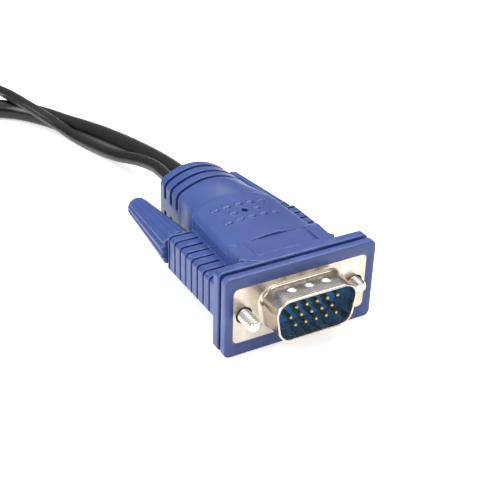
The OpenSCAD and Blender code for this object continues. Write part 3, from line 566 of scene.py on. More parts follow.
def make_bumps():
    """Twelve low domes that follow the crowned face, with a soft foot."""
    points, faces = [], []
    for row in (-1, 0, 1):
        for k in (-2, -1, 0, 1, 2):
            if not row and abs(k) != 1:
                continue
            loops = []
            for share, rise in bump_profile():
                loop = []
                for i in range(BUMP_SIDES):
                    a = 2 * math.pi * i / BUMP_SIDES
                    x = k * BUMP_PITCH + share * BUMP_DIA / 2 * math.cos(a)
                    y = BUMPS_Y + row * BUMP_ROW + share * BUMP_DIA / 2 * math.sin(a)
                    loop.append((x, y, HOOD_H + rise - crown_fall(x)))
                loops.append(loop)
            dome, dome_faces = loft(loops)
            start = len(points)
            points += dome
            faces += [tuple(start + v for v in reversed(f)) for f in dome_faces]
    return sharpen(put("grip_bumps", points, faces), 60)


both_plugs(make_bumps(), (), "blue_plastic")


# Front frame: a swept section round the flange's window


def rounded_loop(w, h, r, y, n=6, straight=10):
    """Points round a rectangle w by h, with like numbering for every size."""
    corners = []
    r = max(r, 0.02)
    for cx, cz, start in ((1, 1, 0), (-1, 1, 90), (-1, -1, 180), (1, -1, 270)):
        corners.append(arc(cx * (w / 2 - r), cz * (h / 2 - r), r, start, start + 90, n))
    loop = []
    for i, corner in enumerate(corners):
        loop += corner
        (x0, z0), (x1, z1) = corner[-1], corners[(i + 1) % 4][0]
        for t in np.arange(1, straight) / straight:
            loop.append((x0 + (x1 - x0) * t, z0 + (z1 - z0) * t))
    return [(x, y, MID + z) for x, z in loop]


def section_of_frame():
    """Width, height, corner radius and y of each loop, from the back round to the back."""
    w, h, r, e = FRAME_W, HOOD_H, CORNER_R, EDGE_R
    edge = [(2 * e * (1 - math.cos(a)), e * math.sin(a)) for a in np.radians((90, 60, 30, 0))]
    outer = [(w - cut, h - cut, r, FRAME_D - e + rise) for cut, rise in edge]
    front = [(w - cut, h - cut, r, -LIP_T + e - rise) for cut, rise in reversed(edge)]
    ww, wh = FLANGE_W, FLANGE_H + 0.3
    lip = [
        (ww + 0.5, wh + 0.5, 1.5, -LIP_T),
        (ww + 0.16, wh + 0.16, 1.35, -LIP_T + 0.02),
        (ww, wh, 1.3, -LIP_T + 0.06),
        (ww - 1.2, wh - 0.9, 1.1, -0.03),
        (ww - 1.2, wh - 0.9, 1.1, 0.0),
        (FLANGE_W + FLANGE_GAP, FLANGE_H + FLANGE_GAP, FLANGE_R, 0.0),
        (FLANGE_W + FLANGE_GAP, FLANGE_H + FLANGE_GAP, FLANGE_R, RECESS_D),
        (BOX_W, BOX_H, BOX_R, RECESS_D),
        (BOX_W, BOX_H, BOX_R, FRAME_D),
    ]
    return outer + front + lip


def make_frame():
    loops = [rounded_loop(*s) for s in section_of_frame()]
    points, faces = loft(loops, closed=True)
    return sharpen(put("bezel", points, faces), 40)


both_plugs(make_frame(), ("front_frame",), "blue_plastic")


# Metal shell


def d_loop(g, y, step=0.3):
    """The D's outline grown by g, in X and Z, its points about a step apart."""
    r = SHELL_R + g
    top_x, dz = SHELL_W / 2 - SHELL_R, SHELL_H / 2 - SHELL_R
    low_x = top_x - 2 * dz * math.tan(math.radians(SHELL_ANGLE))
    right = arc(top_x, dz, r, 90, -SHELL_ANGLE, 14)
    side_n = max(2, round(2 * dz / step))
    low = arc(low_x, -dz, r, -SHELL_ANGLE, -90, 12)
    a, b = right[-1], low[0]
    side = [(a[0] + (b[0] - a[0]) * t, a[1] + (b[1] - a[1]) * t) for t in np.arange(1, side_n) / side_n]
    half = right + side + low
    bottom_n, top_n = round(2 * low_x / step), round(2 * top_x / step)
    bottom = [(low_x - 2 * low_x * i / bottom_n, -dz - r) for i in range(1, bottom_n)]
    left = [(-x, z) for x, z in reversed(half)]
    top = [(-top_x + 2 * top_x * i / top_n, dz + r) for i in range(1, top_n)]
    return [(x, y, MID + z) for x, z in half + bottom + left + top]


def make_shell():
    """The drawn D with its rolled rim and dimples, and the flange with its two holes."""
    rim_r = SHELL_T / 2
    rings = [
        (SHELL_T + BLEND_R * (1 - math.sin(a)), -BLEND_R * (1 - math.cos(a)))
        for a in np.radians(np.linspace(0, 90, 8))
    ]
    wall = np.linspace(-BLEND_R, -SHELL_L + rim_r, 19)[1:]
    rings += [(SHELL_T, y) for y in wall]
    rings += [
        (rim_r + rim_r * math.cos(a), -SHELL_L + rim_r - rim_r * math.sin(a))
        for a in np.radians((30, 60, 90, 120, 150))
    ]
    rings += [(0.0, y) for y in (-SHELL_L + rim_r, -4.0, -2.0, 0.0, FLANGE_T)]
    loops = [d_loop(g, y) for g, y in rings]
    points, faces = loft(loops, cap_start=False, cap_end=False)
    p = np.array(points)
    on_top = (p[:, 2] > MID + SHELL_H / 2 + SHELL_T - 0.05) & (p[:, 1] > -SHELL_L + 2 * rim_r)
    for k in (-1, 0, 1):
        away = np.hypot(p[:, 0] - k * DIMPLE_PITCH, p[:, 1] - DIMPLE_Y) / DIMPLE_R
        p[:, 2] += np.where(on_top, DIMPLE_H * np.clip(1 - away**2, 0, 1), 0)
    outer = [(x, z) for x, _, z in d_loop(rings[0][0], 0)]
    inner = [(x, z) for x, _, z in d_loop(0, 0)]
    plate = [(x, z) for x, _, z in rounded_loop(FLANGE_W, FLANGE_H, FLANGE_R, 0)]
    last = 360 * (HOLE_SIDES - 1) / HOLE_SIDES
    holes = [arc(s * SCREW_X, MID, FLANGE_HOLE_R, 0, last, HOLE_SIDES - 1) for s in (-1, 1)]
    points, total = [tuple(v) for v in p], len(p)

    def sheet(y, ring, flip):
        """One flat face of the flange, from its edge to the holes and the D."""
        nonlocal points, total
        loops2 = [plate, ring, *holes]
        flat = [[Vector((x, z, 0)) for x, z in loop] for loop in loops2]
        start = total
        points += [(v.x, y, v.y) for loop in flat for v in loop]
        total = len(points)
        for tri in tessellate_polygon(flat):
            a, b, c = (Vector((points[start + i][0], points[start + i][2], 0)) for i in tri)
            up = (b - a).cross(c - a).z > 0
            face = tuple(start + i for i in (tri if up == flip else reversed(tri)))
            faces.append(face)
        return start

    front = sheet(0.0, outer, True)
    back = sheet(FLANGE_T, inner, False)
    for k in range(len(plate)):
        j = (k + 1) % len(plate)
        faces.append((front + k, front + j, back + j, back + k))
    shift_f, shift_b = front + len(plate) + len(outer), back + len(plate) + len(inner)
    for hole in holes:
        n = len(hole)
        for k in range(n):
            j = (k + 1) % n
            faces.append((shift_f + j, shift_f + k, shift_b + k, shift_b + j))
        shift_f, shift_b = shift_f + n, shift_b + n
    obj = put("d_shell", points, faces)
    weld = obj.modifiers.new("weld", "WELD")
    weld.merge_threshold = 0.002 * MM
    apply_modifiers(obj)
    return sharpen(obj, 40)


both_plugs(make_shell(), ("front_shell",), "nickel_plate")


# Thumbscrews


def make_screw():
    """A turned screw with a real thread at its tip, from the tip back along +Y."""
    thread_end = SCREW_L - 0.1
    around, per_turn = 40, 10
    rows = []
    for y in np.arange(0, thread_end + 0.8, THREAD_PITCH / per_turn):
        rows.append((y, None))
    land = [
        (thread_end + 0.9, NECK_R), (RING_Y + SCREW_L - 1, NECK_R), (RING_Y + SCREW_L - LAND_L, SCREW_R),
        (RING_Y + SCREW_L - 0.05, SCREW_R), (RING_Y + SCREW_L - 0.05, RING_NECK_R),
        (RING_Y + SCREW_L + 0.85, RING_NECK_R), (RING_Y + SCREW_L + 0.85, SCREW_R),
        (WING_Y + KNOB_GAP + SCREW_L + SCREW_TAIL, SCREW_R),
    ]
    rows += land
    loops = []
    for y, fixed in rows:
        loop = []
        for k in range(around):
            a = 2 * math.pi * k / around
            if fixed is None:
                phase = (y / THREAD_PITCH - k / around) % 1
                groove = 1 - min(1, abs(phase - 0.5) * 2 / 0.88)
                fade = min(1, max(0, (thread_end + 0.6 - y) / 0.6))
                tip = min(1, y / 0.35)
                r = SCREW_R - THREAD_DEPTH * (groove * fade + (1 - fade) * 0.56)
                r = r - 0.42 * (1 - tip)
            else:
                r = fixed
            loop.append((SCREW_X + r * math.cos(a), y - SCREW_L, MID + r * math.sin(a)))
        loops.append(loop)
    points, faces = loft(loops)
    return points, [tuple(reversed(f)) for f in faces]


def knob_profile(n=34):
    """Distance behind the knob's front face and radius, from the front's edge to the rear."""
    end_r = KNOB_TIP_R
    rows = [(0.0, 1.6), (0.0, KNOB_R - 0.35), (0.08, KNOB_R - 0.12), (0.25, KNOB_R)]
    slope = (KNOB_END_R - KNOB_R) / (KNOB_L - end_r)
    for t in np.linspace(0.02, 1, n):
        d = 0.25 + (KNOB_L - end_r - 0.25) * t
        rows.append((d, KNOB_R + slope * d))
    for x, y in arc(KNOB_END_R - end_r, KNOB_L - end_r, end_r, 0, 90, 7)[1:]:
        rows.append((y, x))
    return rows


def make_knob():
    """A tapered knob with shallow flutes that run out at its rear end."""
    around = FLUTES * FLUTE_SIDES
    loops = []
    for d, r in knob_profile():
        depth = FLUTE_D * min(1, r / KNOB_R) * (1 if d > 0 else 0.8)
        if d > KNOB_L - FLUTE_FADE:
            depth *= max(0.0, (KNOB_L - d) / FLUTE_FADE)
        if r < 2:
            depth = 0
        loop = []
        for k in range(around):
            phase = (k / FLUTE_SIDES) % 1
            dip = (0.5 + 0.5 * math.cos(2 * math.pi * phase)) ** 2
            a = 2 * math.pi * k / around
            rr = r - depth * dip
            loop.append((SCREW_X + rr * math.cos(a), WING_Y + KNOB_GAP + d, MID + rr * math.sin(a)))
        loops.append(loop)
    points, faces = loft(loops)
    return points, [tuple(reversed(f)) for f in faces]


def place_screws():
    screw, knob = make_screw(), make_knob()
    for far in (False, True):
        for side in ("left", "right"):
            name = ("far_" if far else "") + side
            base = np.array(FAR_PLACE if far else (0, 0, 0), float)
            if side == "right" and not far:
                base = base + (0, SCREW_BACK, 0)
            mirror = side == "left"
            body = name + "_thumbscrew"
            s = put(name + "_threaded_screw", *screw, place=base, mirror=mirror)
            finish_piece(sharpen(s, 50), body, "screw_steel", name + "_screw")
            k = put(name + "_fluted_knob", *knob, place=base, mirror=mirror)
            finish_piece(sharpen(k, 50), body, "blue_plastic", name + "_knob")


place_screws()


# Ties round the coil


def hull(points):
    """The convex outline of points in a plane, turning left."""
    points = sorted(set(points))
    outline = []
    for side in (points, points[::-1]):
        start = len(outline)
        for p in side:
            while len(outline) > start + 1:
                (ax, ay), (bx, by) = outline[-2], outline[-1]
                if (bx - ax) * (p[1] - ay) - (by - ay) * (p[0] - ax) > 1e-9:
                    break
                outline.pop()
            outline.append(p)
        outline.pop()
    return outline


def tie_outline(grow, angle):
    """The tie's outline in its own plane, out from the coil's middle and up."""
    since = ((angle - 100) % 360) / 360
    until = ((180 - angle) % 360) / 360
    whole = VIDEO_TURNS
    v = VIDEO_COIL_R - VIDEO_RISE * min(
        whole / 2 - abs(u - whole / 2) for u in (since, whole - until)
    )
    v_in = VIDEO_COIL_R - VIDEO_RISE * whole / 2
    u_in = USB_COIL_R - USB_RISE * USB_TURNS / 2
    r_v, r_u = VIDEO_DIA / 2 + TIE_GAP + grow, USB_DIA / 2 + TIE_GAP + grow
    circles = [(v_in, VIDEO_COIL_Z, r_v), (v, VIDEO_COIL_Z, r_v), (v, VIDEO_COIL_Z + VIDEO_RISE, r_v)]
    for x in (u_in, USB_COIL_R):
        for z in (USB_COIL_Z, USB_COIL_Z + USB_RISE):
            circles.append((x, z, r_u))
    return hull([p for cx, cz, r in circles for p in arc(cx, cz, r, 0, 360, 40)])


def even(outline, n, closed=True):
    """n points at even distances along an outline."""
    p = np.array(outline + [outline[0]] if closed else outline)
    along = np.concatenate([[0], np.cumsum(np.linalg.norm(np.diff(p, axis=0), axis=1))])
    at = np.linspace(0, along[-1], n + 1)[:-1] if closed else np.linspace(0, along[-1], n)
    return np.stack([np.interp(at, along, p[:, k]) for k in (0, 1)], 1)


def strap_section(width, thick, n=4):
    r = thick / 2
    right = arc(width / 2 - r, 0, r, -90, 90, n)
    left = arc(-width / 2 + r, 0, r, 90, 270, n)
    steps = 8
    top = [(width / 2 - r - (width - 2 * r) * i / steps, r) for i in range(1, steps)]
    low = [(-width / 2 + r + (width - 2 * r) * i / steps, -r) for i in range(1, steps)]
    return right + top + left + low


def make_tie(name, angle):
    """A woven strap round all the turns, its end lapped over itself on the outer side."""
    line = even(tie_outline(TIE_T / 2, angle), 150)
    tangent = np.roll(line, -1, 0) - np.roll(line, 1, 0)
    tangent /= np.linalg.norm(tangent, axis=1)[:, None]
    normal = np.stack([tangent[:, 1], -tangent[:, 0]], 1)
    a = math.radians(angle)
    out, across = np.array([math.cos(a), math.sin(a)]), np.array([-math.sin(a), math.cos(a)])

    def ring(i, section, lift=0.0):
        loop = []
        for s, t in section:
            q = line[i] + normal[i] * (t + lift)
            xy = np.array(COIL_AT) + out * q[0] + across * s
            loop.append((xy[0], xy[1], q[1]))
        return loop

    section = strap_section(TIE_W, TIE_T * 0.92)
    points, faces = loft([ring(i, section) for i in range(len(line))], closed=True)
    lap = [i for i in range(len(line)) if line[i][0] > 20 and 3.5 < line[i][1] < 15.5]
    thin = strap_section(TIE_W - 0.6, 0.5)
    loops = []
    for n, i in enumerate(lap):
        ease = min(1.0, (len(lap) - 1 - n) / 2 + 0.45)
        loops.append(ring(i, [(s * ease, t) for s, t in thin], 0.36))
    more, more_faces = loft(loops)
    shift = len(points)
    points += more
    faces += [tuple(shift + i for i in f) for f in more_faces]
    obj = put(name, points, faces)
    return sharpen(obj, 60)


ties = [make_tie("tie_one", TIE_ANGLES[0]), make_tie("tie_two", TIE_ANGLES[1])]
for tie in ties:
    finish_piece(tie, "root", "tie_fabric")
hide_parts("coil_ties")


# USB plug

USB_W, USB_H, USB_T, USB_L, SHELL_ROOT, USB_EDGE_R = 12.0, 4.5, 0.3, 12.0, 6.0, 0.6
WINDOW_X, WINDOW_Y = (1.55, 3.85), (-7.15, -4.85)
GRIP_W, GRIP_H, GRIP_L, RELIEF_L, GRIP_R = 16.0, 8.0, 22.0, 11.0, 1.4


def usb_body_field(x, y, z):
    """The moulded grip: soft edges, a waist, cross lines on both faces."""
    waist = 0.35 * np.exp(-(((y - 13) / 6.5) ** 2))
    section = rectangle(x, z, GRIP_W - 2 * waist, GRIP_H - waist, GRIP_R)
    f = round_max(section, between(y, 0, GRIP_L), 0.7)
    lines = np.full_like(f, 1e3)
    for i in range(4):
        start = 8.8 + 2.2 * i
        lines = np.minimum(lines, between(y, start, start + GROOVE_W))
    cut = np.maximum(lines, np.maximum(np.abs(x) - GRIP_W / 4, GRIP_H / 2 - 0.45 - np.abs(z)))
    f = round_max(f, -cut, 0.15)
    return np.maximum(f, -np.maximum(rectangle(x, z, USB_W, USB_H, 0.3), y - 1.4))


def usb_relief_field(x, y, z):
    """A tapered strain relief with three slots round it."""
    t = np.clip((y - GRIP_L) / RELIEF_L, 0, 1)
    taper = (GRIP_H / 2 - 0.6) * (1 - t) + (USB_DIA / 2 + 0.6) * t
    d = np.hypot(x, z)
    f = round_max(d - taper, between(y, GRIP_L - 0.5, GRIP_L + RELIEF_L), 0.25)
    slots = np.full_like(f, 1e3)
    for i in (1, 2, 3):
        start = GRIP_L + RELIEF_L * i / 4
        slots = np.minimum(slots, between(y, start, start + GROOVE_W))
    return round_max(f, -np.maximum(slots, USB_DIA / 2 + 0.3 - d), 0.12)


def shift_usb(field):
    def moved(x, y, z):
        return field(x - USB_PLACE[0], y - USB_PLACE[1], z - USB_PLACE[2])
    return moved


def usb_box(y0, y1, w, h):
    x, y, z = USB_PLACE
    return (x - w / 2 - 1, y + y0 - 1, z - h / 2 - 1), (x + w / 2 + 1, y + y1 + 1, z + h / 2 + 1)


USB_CELL = 0.25
grip = put_field(
    "usb_handle", shift_usb(usb_body_field), *usb_box(0, GRIP_L, GRIP_W, GRIP_H), USB_CELL, 0.4
)
relief = put_field(
    "usb_strain_relief", shift_usb(usb_relief_field), *usb_box(GRIP_L, 33, 8, 8), USB_CELL, 0.5
)
finish_piece(grip, "root", "black_plastic", "usb_grip")
finish_piece(relief, "root", "black_plastic", "usb_relief")


def make_usb_shell():
    """The folded shell: a thin tube with two windows on each face and a seam underneath."""
    flat_x = USB_W / 2 - USB_EDGE_R
    near, far = WINDOW_X
    xs = sorted({*np.linspace(-flat_x, flat_x, 13).round(3), -far, -near, near, far})
    zs = [-1.65, -0.8, 0, 0.8, 1.65]
    half_w, half_h, r = USB_W / 2, USB_H / 2, USB_EDGE_R
    loop = [(x, half_h) for x in xs]
    loop += arc(half_w - r, half_h - r, r, 75, 15, 4)
    loop += [(half_w, z) for z in reversed(zs)]
    loop += arc(half_w - r, -half_h + r, r, -15, -75, 4)
    loop += [(x, -half_h) for x in reversed(xs)]
    loop += arc(-half_w + r, -half_h + r, r, -105, -165, 4)
    loop += [(-half_w, z) for z in zs]
    loop += arc(-half_w + r, half_h - r, r, 165, 105, 4)
    ys = [-USB_L, -11.8, -10, -8.6, WINDOW_Y[0], -6, WINDOW_Y[1], -3.5, -2, 0, 3, SHELL_ROOT]
    n = len(loop)
    points = [(x, y, z) for y in ys for x, z in loop]
    faces = []
    for i in range(len(ys) - 1):
        for k in range(n):
            j = (k + 1) % n
            (x0, z0), (x1, z1) = loop[k], loop[j]
            x, y = (x0 + x1) / 2, (ys[i] + ys[i + 1]) / 2
            flat = abs(z0) == half_h == abs(z1)
            if flat and near < abs(x) < far and WINDOW_Y[0] < y < WINDOW_Y[1]:
                continue
            faces.append((i * n + k, i * n + j, (i + 1) * n + j, (i + 1) * n + k))
    obj = put("usb_tube", points, [tuple(reversed(f)) for f in faces], place=USB_PLACE)
    solid = obj.modifiers.new("solid", "SOLIDIFY")
    solid.thickness = USB_T * MM
    solid.offset = -1
    edge = obj.modifiers.new("edge", "BEVEL")
    edge.width = 0.06 * MM
    edge.segments = 2
    edge.limit_method = "ANGLE"
    edge.angle_limit = math.radians(50)
    apply_modifiers(obj)
    return sharpen(obj, 50)


finish_piece(make_usb_shell(), "root", "nickel_plate", "usb_shell")


# Materials


def nodes_of(name):
    material = bpy.data.materials.new(name)
    material.use_nodes = True
    tree = material.node_tree
    shader = tree.nodes["Principled BSDF"]
    where = tree.nodes.new("ShaderNodeTexCoord").outputs["Object"]
    return material, tree, shader, where


def noise(tree, where, scale, detail=2.0, stretch=None):
    if stretch:
        mapping = tree.nodes.new("ShaderNodeMapping")
        mapping.inputs["Scale"].default_value = stretch
        tree.links.new(where, mapping.inputs["Vector"])
        where = mapping.outputs["Vector"]
    node = tree.nodes.new("ShaderNodeTexNoise")
    node.inputs["Scale"].default_value = scale
    node.inputs["Detail"].default_value = detail
    tree.links.new(where, node.inputs["Vector"])
    return node.outputs["Fac"]


def ramp(tree, value, low, high, colours):
    node = tree.nodes.new("ShaderNodeValToRGB")
    node.color_ramp.elements[0].position = low
    node.color_ramp.elements[1].position = high
    for element, colour in zip(node.color_ramp.elements, colours):
        element.color = (*colour, 1)
    tree.links.new(value, node.inputs["Fac"])
    return node.outputs["Color"]


def bump(tree, shader, height, distance, strength=1.0, under=None):
    node = tree.nodes.new("ShaderNodeBump")
    node.inputs["Distance"].default_value = distance * MM
    node.inputs["Strength"].default_value = strength
    tree.links.new(height, node.inputs["Height"])
    if under:
        tree.links.new(under, node.inputs["Normal"])
    tree.links.new(node.outputs["Normal"], shader.inputs["Normal"])
    return node.outputs["Normal"]


def rgb(r, g, b):
    """A colour given as it looks on a screen, from 0 to 255."""
    def linear(v):
        v = v / 255
        return v / 12.92 if v <= 0.04045 else ((v + 0.055) / 1.055) ** 2.4
    return tuple(linear(v) for v in (r, g, b))


# Painted highlight: convex edges are given a lighter colour by their pointiness.
def painted_edge_highlight(tree, shader, base, edge_highlight_colour, low=0.52, high=0.6):
    """Mixes a lighter colour in along the outer, convex edges: a painted highlight where they catch the
    light.
    """
    geometry = tree.nodes.new("ShaderNodeNewGeometry")
    node = tree.nodes.new("ShaderNodeMapRange")
    node.inputs["From Min"].default_value = low
    node.inputs["From Max"].default_value = high
    node.inputs["To Max"].default_value = 0.5
    tree.links.new(geometry.outputs["Pointiness"], node.inputs["Value"])
    mix = tree.nodes.new("ShaderNodeMix")
    mix.data_type = "RGBA"
    tree.links.new(node.outputs["Result"], mix.inputs["Factor"])
    tree.links.new(base, mix.inputs["A"])
    mix.inputs["B"].default_value = (*edge_highlight_colour, 1)
    tree.links.new(mix.outputs["Result"], shader.inputs["Base Color"])


def moulded(name, dark, light, edge, rough, grain=0.008, grain_scale=4200):
    """Moulded plastic: cloudy colour, fine spark-eroded grain, patchy gloss, and a painted highlight
    along the outer edges.
    """
    material, tree, shader, where = nodes_of(name)
    colour = ramp(tree, noise(tree, where, 160, 4), 0.35, 0.65, (dark, light))
    # The edge colour is a painted highlight, mixed in along the convex edges.
    painted_edge_highlight(tree, shader, colour, edge)
    gloss = tree.nodes.new("ShaderNodeMapRange")
    gloss.inputs["To Min"].default_value = rough - 0.05
    gloss.inputs["To Max"].default_value = rough + 0.07
    tree.links.new(noise(tree, where, 420, 5), gloss.inputs["Value"])
    tree.links.new(gloss.outputs["Result"], shader.inputs["Roughness"])
    coarse = bump(tree, shader, noise(tree, where, 900, 2), 0.02, 0.35)
    bump(tree, shader, noise(tree, where, grain_scale, 1), grain, 0.8, coarse)
    return material


def metal(name, dark, light, rough, stretch=(1, 1, 1), scratch=0.004, patches=220):
    """Plated metal: faint tarnish, fine drawing lines and patchy gloss."""
    material, tree, shader, where = nodes_of(name)
    shader.inputs["Metallic"].default_value = 1
    colour = ramp(tree, noise(tree, where, patches, 5), 0.3, 0.7, (dark, light))
    tree.links.new(colour, shader.inputs["Base Color"])
    gloss = tree.nodes.new("ShaderNodeMapRange")
    gloss.inputs["To Min"].default_value = rough - 0.03
    gloss.inputs["To Max"].default_value = rough + 0.04
    tree.links.new(noise(tree, where, 700, 4, stretch), gloss.inputs["Value"])
    tree.links.new(gloss.outputs["Result"], shader.inputs["Roughness"])
    bump(tree, shader, noise(tree, where, 2600, 3, stretch), scratch, 0.2)
    return material


def cord_jacket(name):
    """Soft PVC: near black, with a fine skin and a slow waviness from extrusion."""
    material, tree, shader, where = nodes_of(name)
    colour = ramp(tree, noise(tree, where, 260, 3), 0.3, 0.7, (rgb(8, 8, 10), rgb(14, 14, 16)))
    tree.links.new(colour, shader.inputs["Base Color"])
    gloss = tree.nodes.new("ShaderNodeMapRange")
    gloss.inputs["To Min"].default_value = 0.24
    gloss.inputs["To Max"].default_value = 0.36
    shader.inputs["Specular IOR Level"].default_value = 0.4
    tree.links.new(noise(tree, where, 300, 5), gloss.inputs["Value"])
    tree.links.new(gloss.outputs["Result"], shader.inputs["Roughness"])
    wave = bump(tree, shader, noise(tree, where, 140, 1), 0.06, 0.5)
    bump(tree, shader, noise(tree, where, 3200, 2), 0.008, 0.7, wave)
    return material


def woven(name):
    """A hook-and-loop strap: crossed threads under a low fuzz."""
    material, tree, shader, where = nodes_of(name)
    waves = []
    for direction in ("X", "Y", "Z"):
        wave = tree.nodes.new("ShaderNodeTexWave")
        wave.bands_direction = direction
        wave.inputs["Scale"].default_value = 320
        wave.inputs["Distortion"].default_value = 1.2
        wave.inputs["Detail"].default_value = 2
        tree.links.new(where, wave.inputs["Vector"])
        waves.append(wave.outputs["Fac"])
    threads = waves[0]
    for other in waves[1:]:
        both = tree.nodes.new("ShaderNodeMath")
        both.operation = "MULTIPLY"
        tree.links.new(threads, both.inputs[0])
        tree.links.new(other, both.inputs[1])
        threads = both.outputs["Value"]
    colour = ramp(tree, threads, 0.0, 0.6, (rgb(18, 18, 20), rgb(52, 52, 56)))
    tree.links.new(colour, shader.inputs["Base Color"])
    shader.inputs["Roughness"].default_value = 0.85
    shader.inputs["Sheen Weight"].default_value = 0.3
    weave = bump(tree, shader, threads, 0.2, 0.8)
    bump(tree, shader, noise(tree, where, 2400, 4), 0.06, 0.6, weave)
    return material


def wires(name):
    """Thin wires in red and green, patched by noise along and across the bundle."""
    material, tree, shader, where = nodes_of(name)
    node = tree.nodes.new("ShaderNodeTexNoise")
    node.inputs["Scale"].default_value = 330
    tree.links.new(where, node.inputs["Vector"])
    colour = ramp(tree, node.outputs["Fac"], 0.35, 0.65, (rgb(170, 40, 30), rgb(40, 120, 60)))
    tree.links.new(colour, shader.inputs["Base Color"])
    shader.inputs["Roughness"].default_value = 0.4
    bump(tree, shader, noise(tree, where, 3000, 2), 0.01, 0.5)
    return material


# The third colour of each moulded material is its painted highlight along the outer edges.
MATERIALS = {
    "blue_plastic": moulded(
        "blue_plastic", rgb(44, 63, 120), rgb(49, 69, 127), rgb(78, 98, 156), 0.34
    ),
    "nickel_plate": metal(
        "nickel_plate", rgb(184, 173, 160), rgb(212, 203, 191), 0.26, (1, 6, 1)
    ),
    "screw_steel": metal("screw_steel", rgb(190, 186, 180), rgb(216, 212, 206), 0.28, (1, 8, 1)),
    "crimp_steel": metal("crimp_steel", rgb(160, 160, 162), rgb(190, 190, 190), 0.35),
    "gold_contact": metal("gold_contact", rgb(176, 148, 108), rgb(206, 180, 138), 0.28),
    "blue_insulator": moulded(
        "blue_insulator", rgb(20, 98, 176), rgb(26, 108, 188), rgb(60, 130, 200), 0.42
    ),
    "black_insulator": moulded(
        "black_insulator", rgb(26, 26, 28), rgb(36, 36, 38), rgb(60, 60, 62), 0.5
    ),
    "wire_insulation": wires("wire_insulation"),
    "black_cord": cord_jacket("black_cord"),
    "black_plastic": moulded(
        "black_plastic", rgb(24, 24, 26), rgb(33, 33, 36), rgb(58, 58, 62), 0.42, 0.012, 3000
    ),
    "white_plastic": moulded(
        "white_plastic", rgb(222, 221, 214), rgb(232, 231, 225), rgb(240, 240, 236), 0.4
    ),
    "tie_fabric": woven("tie_fabric"),
}

slot_of = {s["node"]: s["material_slot"] for s in frame["record"]["subparts"]}
for node_name, node_object in frame["nodes"].items():
    node_object.data.materials.clear()
    node_object.data.materials.append(MATERIALS[slot_of[node_name]])
for piece in [video_cord, usb_cord, *pieces.values()]:
    piece.data.materials.clear()
    piece.data.materials.append(MATERIALS[piece["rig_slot"]])


# Floor, world and lamps


def make_floor():
    size = 3.0
    mesh = bpy.data.meshes.new("floor")
    corners = [(-size, -size, 0), (size, -size, 0), (size, size, 0), (-size, size, 0)]
    mesh.from_pydata(corners, [], [(0, 1, 2, 3)])
    floor = bpy.data.objects.new("floor", mesh)
    bpy.context.scene.collection.objects.link(floor)
    material = bpy.data.materials.new("floor")
    material.use_nodes = True
    tree = material.node_tree
    shader = tree.nodes["Principled BSDF"]
    shader.inputs["Base Color"].default_value = (0.8, 0.8, 0.8, 1)
    shader.inputs["Roughness"].default_value = 0.9
    shader.inputs["Specular IOR Level"].default_value = 0.0
    glow = tree.nodes.new("ShaderNodeEmission")
    glow.inputs["Strength"].default_value = 0.5
    both = tree.nodes.new("ShaderNodeAddShader")
    tree.links.new(shader.outputs["BSDF"], both.inputs[0])
    tree.links.new(glow.outputs["Emission"], both.inputs[1])
    pick = tree.nodes.new("ShaderNodeMixShader")
    rays = tree.nodes.new("ShaderNodeLightPath")
    seen = tree.nodes.new("ShaderNodeMath")
    seen.operation = "MAXIMUM"
    tree.links.new(rays.outputs["Is Camera Ray"], seen.inputs[0])
    tree.links.new(rays.outputs["Is Glossy Ray"], seen.inputs[1])
    tree.links.new(seen.outputs["Value"], pick.inputs["Fac"])
    tree.links.new(shader.outputs["BSDF"], pick.inputs[1])
    tree.links.new(both.outputs["Shader"], pick.inputs[2])
    tree.links.new(pick.outputs["Shader"], tree.nodes["Material Output"].inputs["Surface"])
    floor.data.materials.append(material)


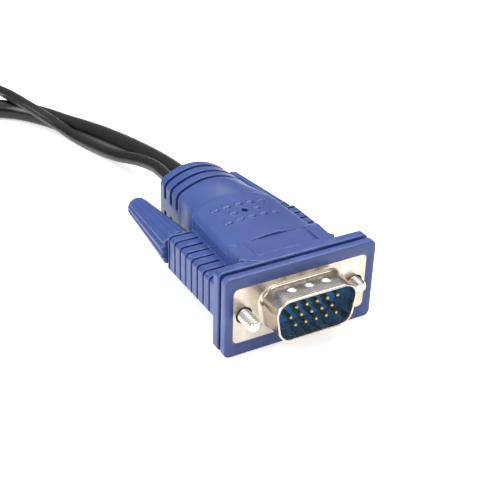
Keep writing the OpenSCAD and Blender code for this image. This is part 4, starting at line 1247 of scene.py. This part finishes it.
def make_world():
    world = bpy.data.worlds.new("studio")
    world.use_nodes = True
    bpy.context.scene.world = world
    tree = world.node_tree
    dim = tree.nodes["Background"]
    dim.inputs["Color"].default_value = (1, 1, 1, 1)
    dim.inputs["Strength"].default_value = 0.5
    bright = tree.nodes.new("ShaderNodeBackground")
    bright.inputs["Strength"].default_value = 1.0
    where = tree.nodes.new("ShaderNodeTexCoord")
    split = tree.nodes.new("ShaderNodeSeparateXYZ")
    tree.links.new(where.outputs["Generated"], split.inputs["Vector"])
    shade = tree.nodes.new("ShaderNodeValToRGB")
    shade.color_ramp.elements[0].position = 0.45
    shade.color_ramp.elements[0].color = (0.42, 0.41, 0.4, 1)
    shade.color_ramp.elements[1].position = 0.75
    shade.color_ramp.elements[1].color = (1, 1, 1, 1)
    tree.links.new(split.outputs["Z"], shade.inputs["Fac"])
    gloss = tree.nodes.new("ShaderNodeBackground")
    tree.links.new(shade.outputs["Color"], gloss.inputs["Color"])
    gloss.inputs["Strength"].default_value = 0.8
    rays = tree.nodes.new("ShaderNodeLightPath")
    for_gloss = tree.nodes.new("ShaderNodeMixShader")
    tree.links.new(rays.outputs["Is Glossy Ray"], for_gloss.inputs["Fac"])
    tree.links.new(dim.outputs["Background"], for_gloss.inputs[1])
    tree.links.new(gloss.outputs["Background"], for_gloss.inputs[2])
    pick = tree.nodes.new("ShaderNodeMixShader")
    tree.links.new(rays.outputs["Is Camera Ray"], pick.inputs["Fac"])
    tree.links.new(for_gloss.outputs["Shader"], pick.inputs[1])
    tree.links.new(bright.outputs["Background"], pick.inputs[2])
    tree.links.new(pick.outputs["Shader"], tree.nodes["World Output"].inputs["Surface"])


def make_lamp(name, at, toward, width, height, power):
    data = bpy.data.lights.new(name, "AREA")
    data.shape = "RECTANGLE"
    data.size, data.size_y, data.energy = width, height, power
    lamp = bpy.data.objects.new(name, data)
    lamp.location = at
    lamp.rotation_euler = (Vector(toward) - Vector(at)).to_track_quat("-Z", "Y").to_euler()
    bpy.context.scene.collection.objects.link(lamp)


make_floor()
make_world()
middle = (0, 0.02, 0.01)
make_lamp("softbox_above", (0.1, 0.1, 0.75), middle, 0.6, 0.5, 5.5)
make_lamp("softbox_behind", (0.37, 0.39, 0.68), middle, 0.25, 0.2, 1.2)
make_lamp("softbox_left", (-0.7, 0.15, 0.35), middle, 0.4, 0.5, 6.2)
make_lamp("softbox_front", (0.1, -0.7, 0.4), middle, 0.6, 0.4, 1.5)

bpy.context.scene.view_settings.view_transform = "Standard"

bpy.context.view_layer.update()
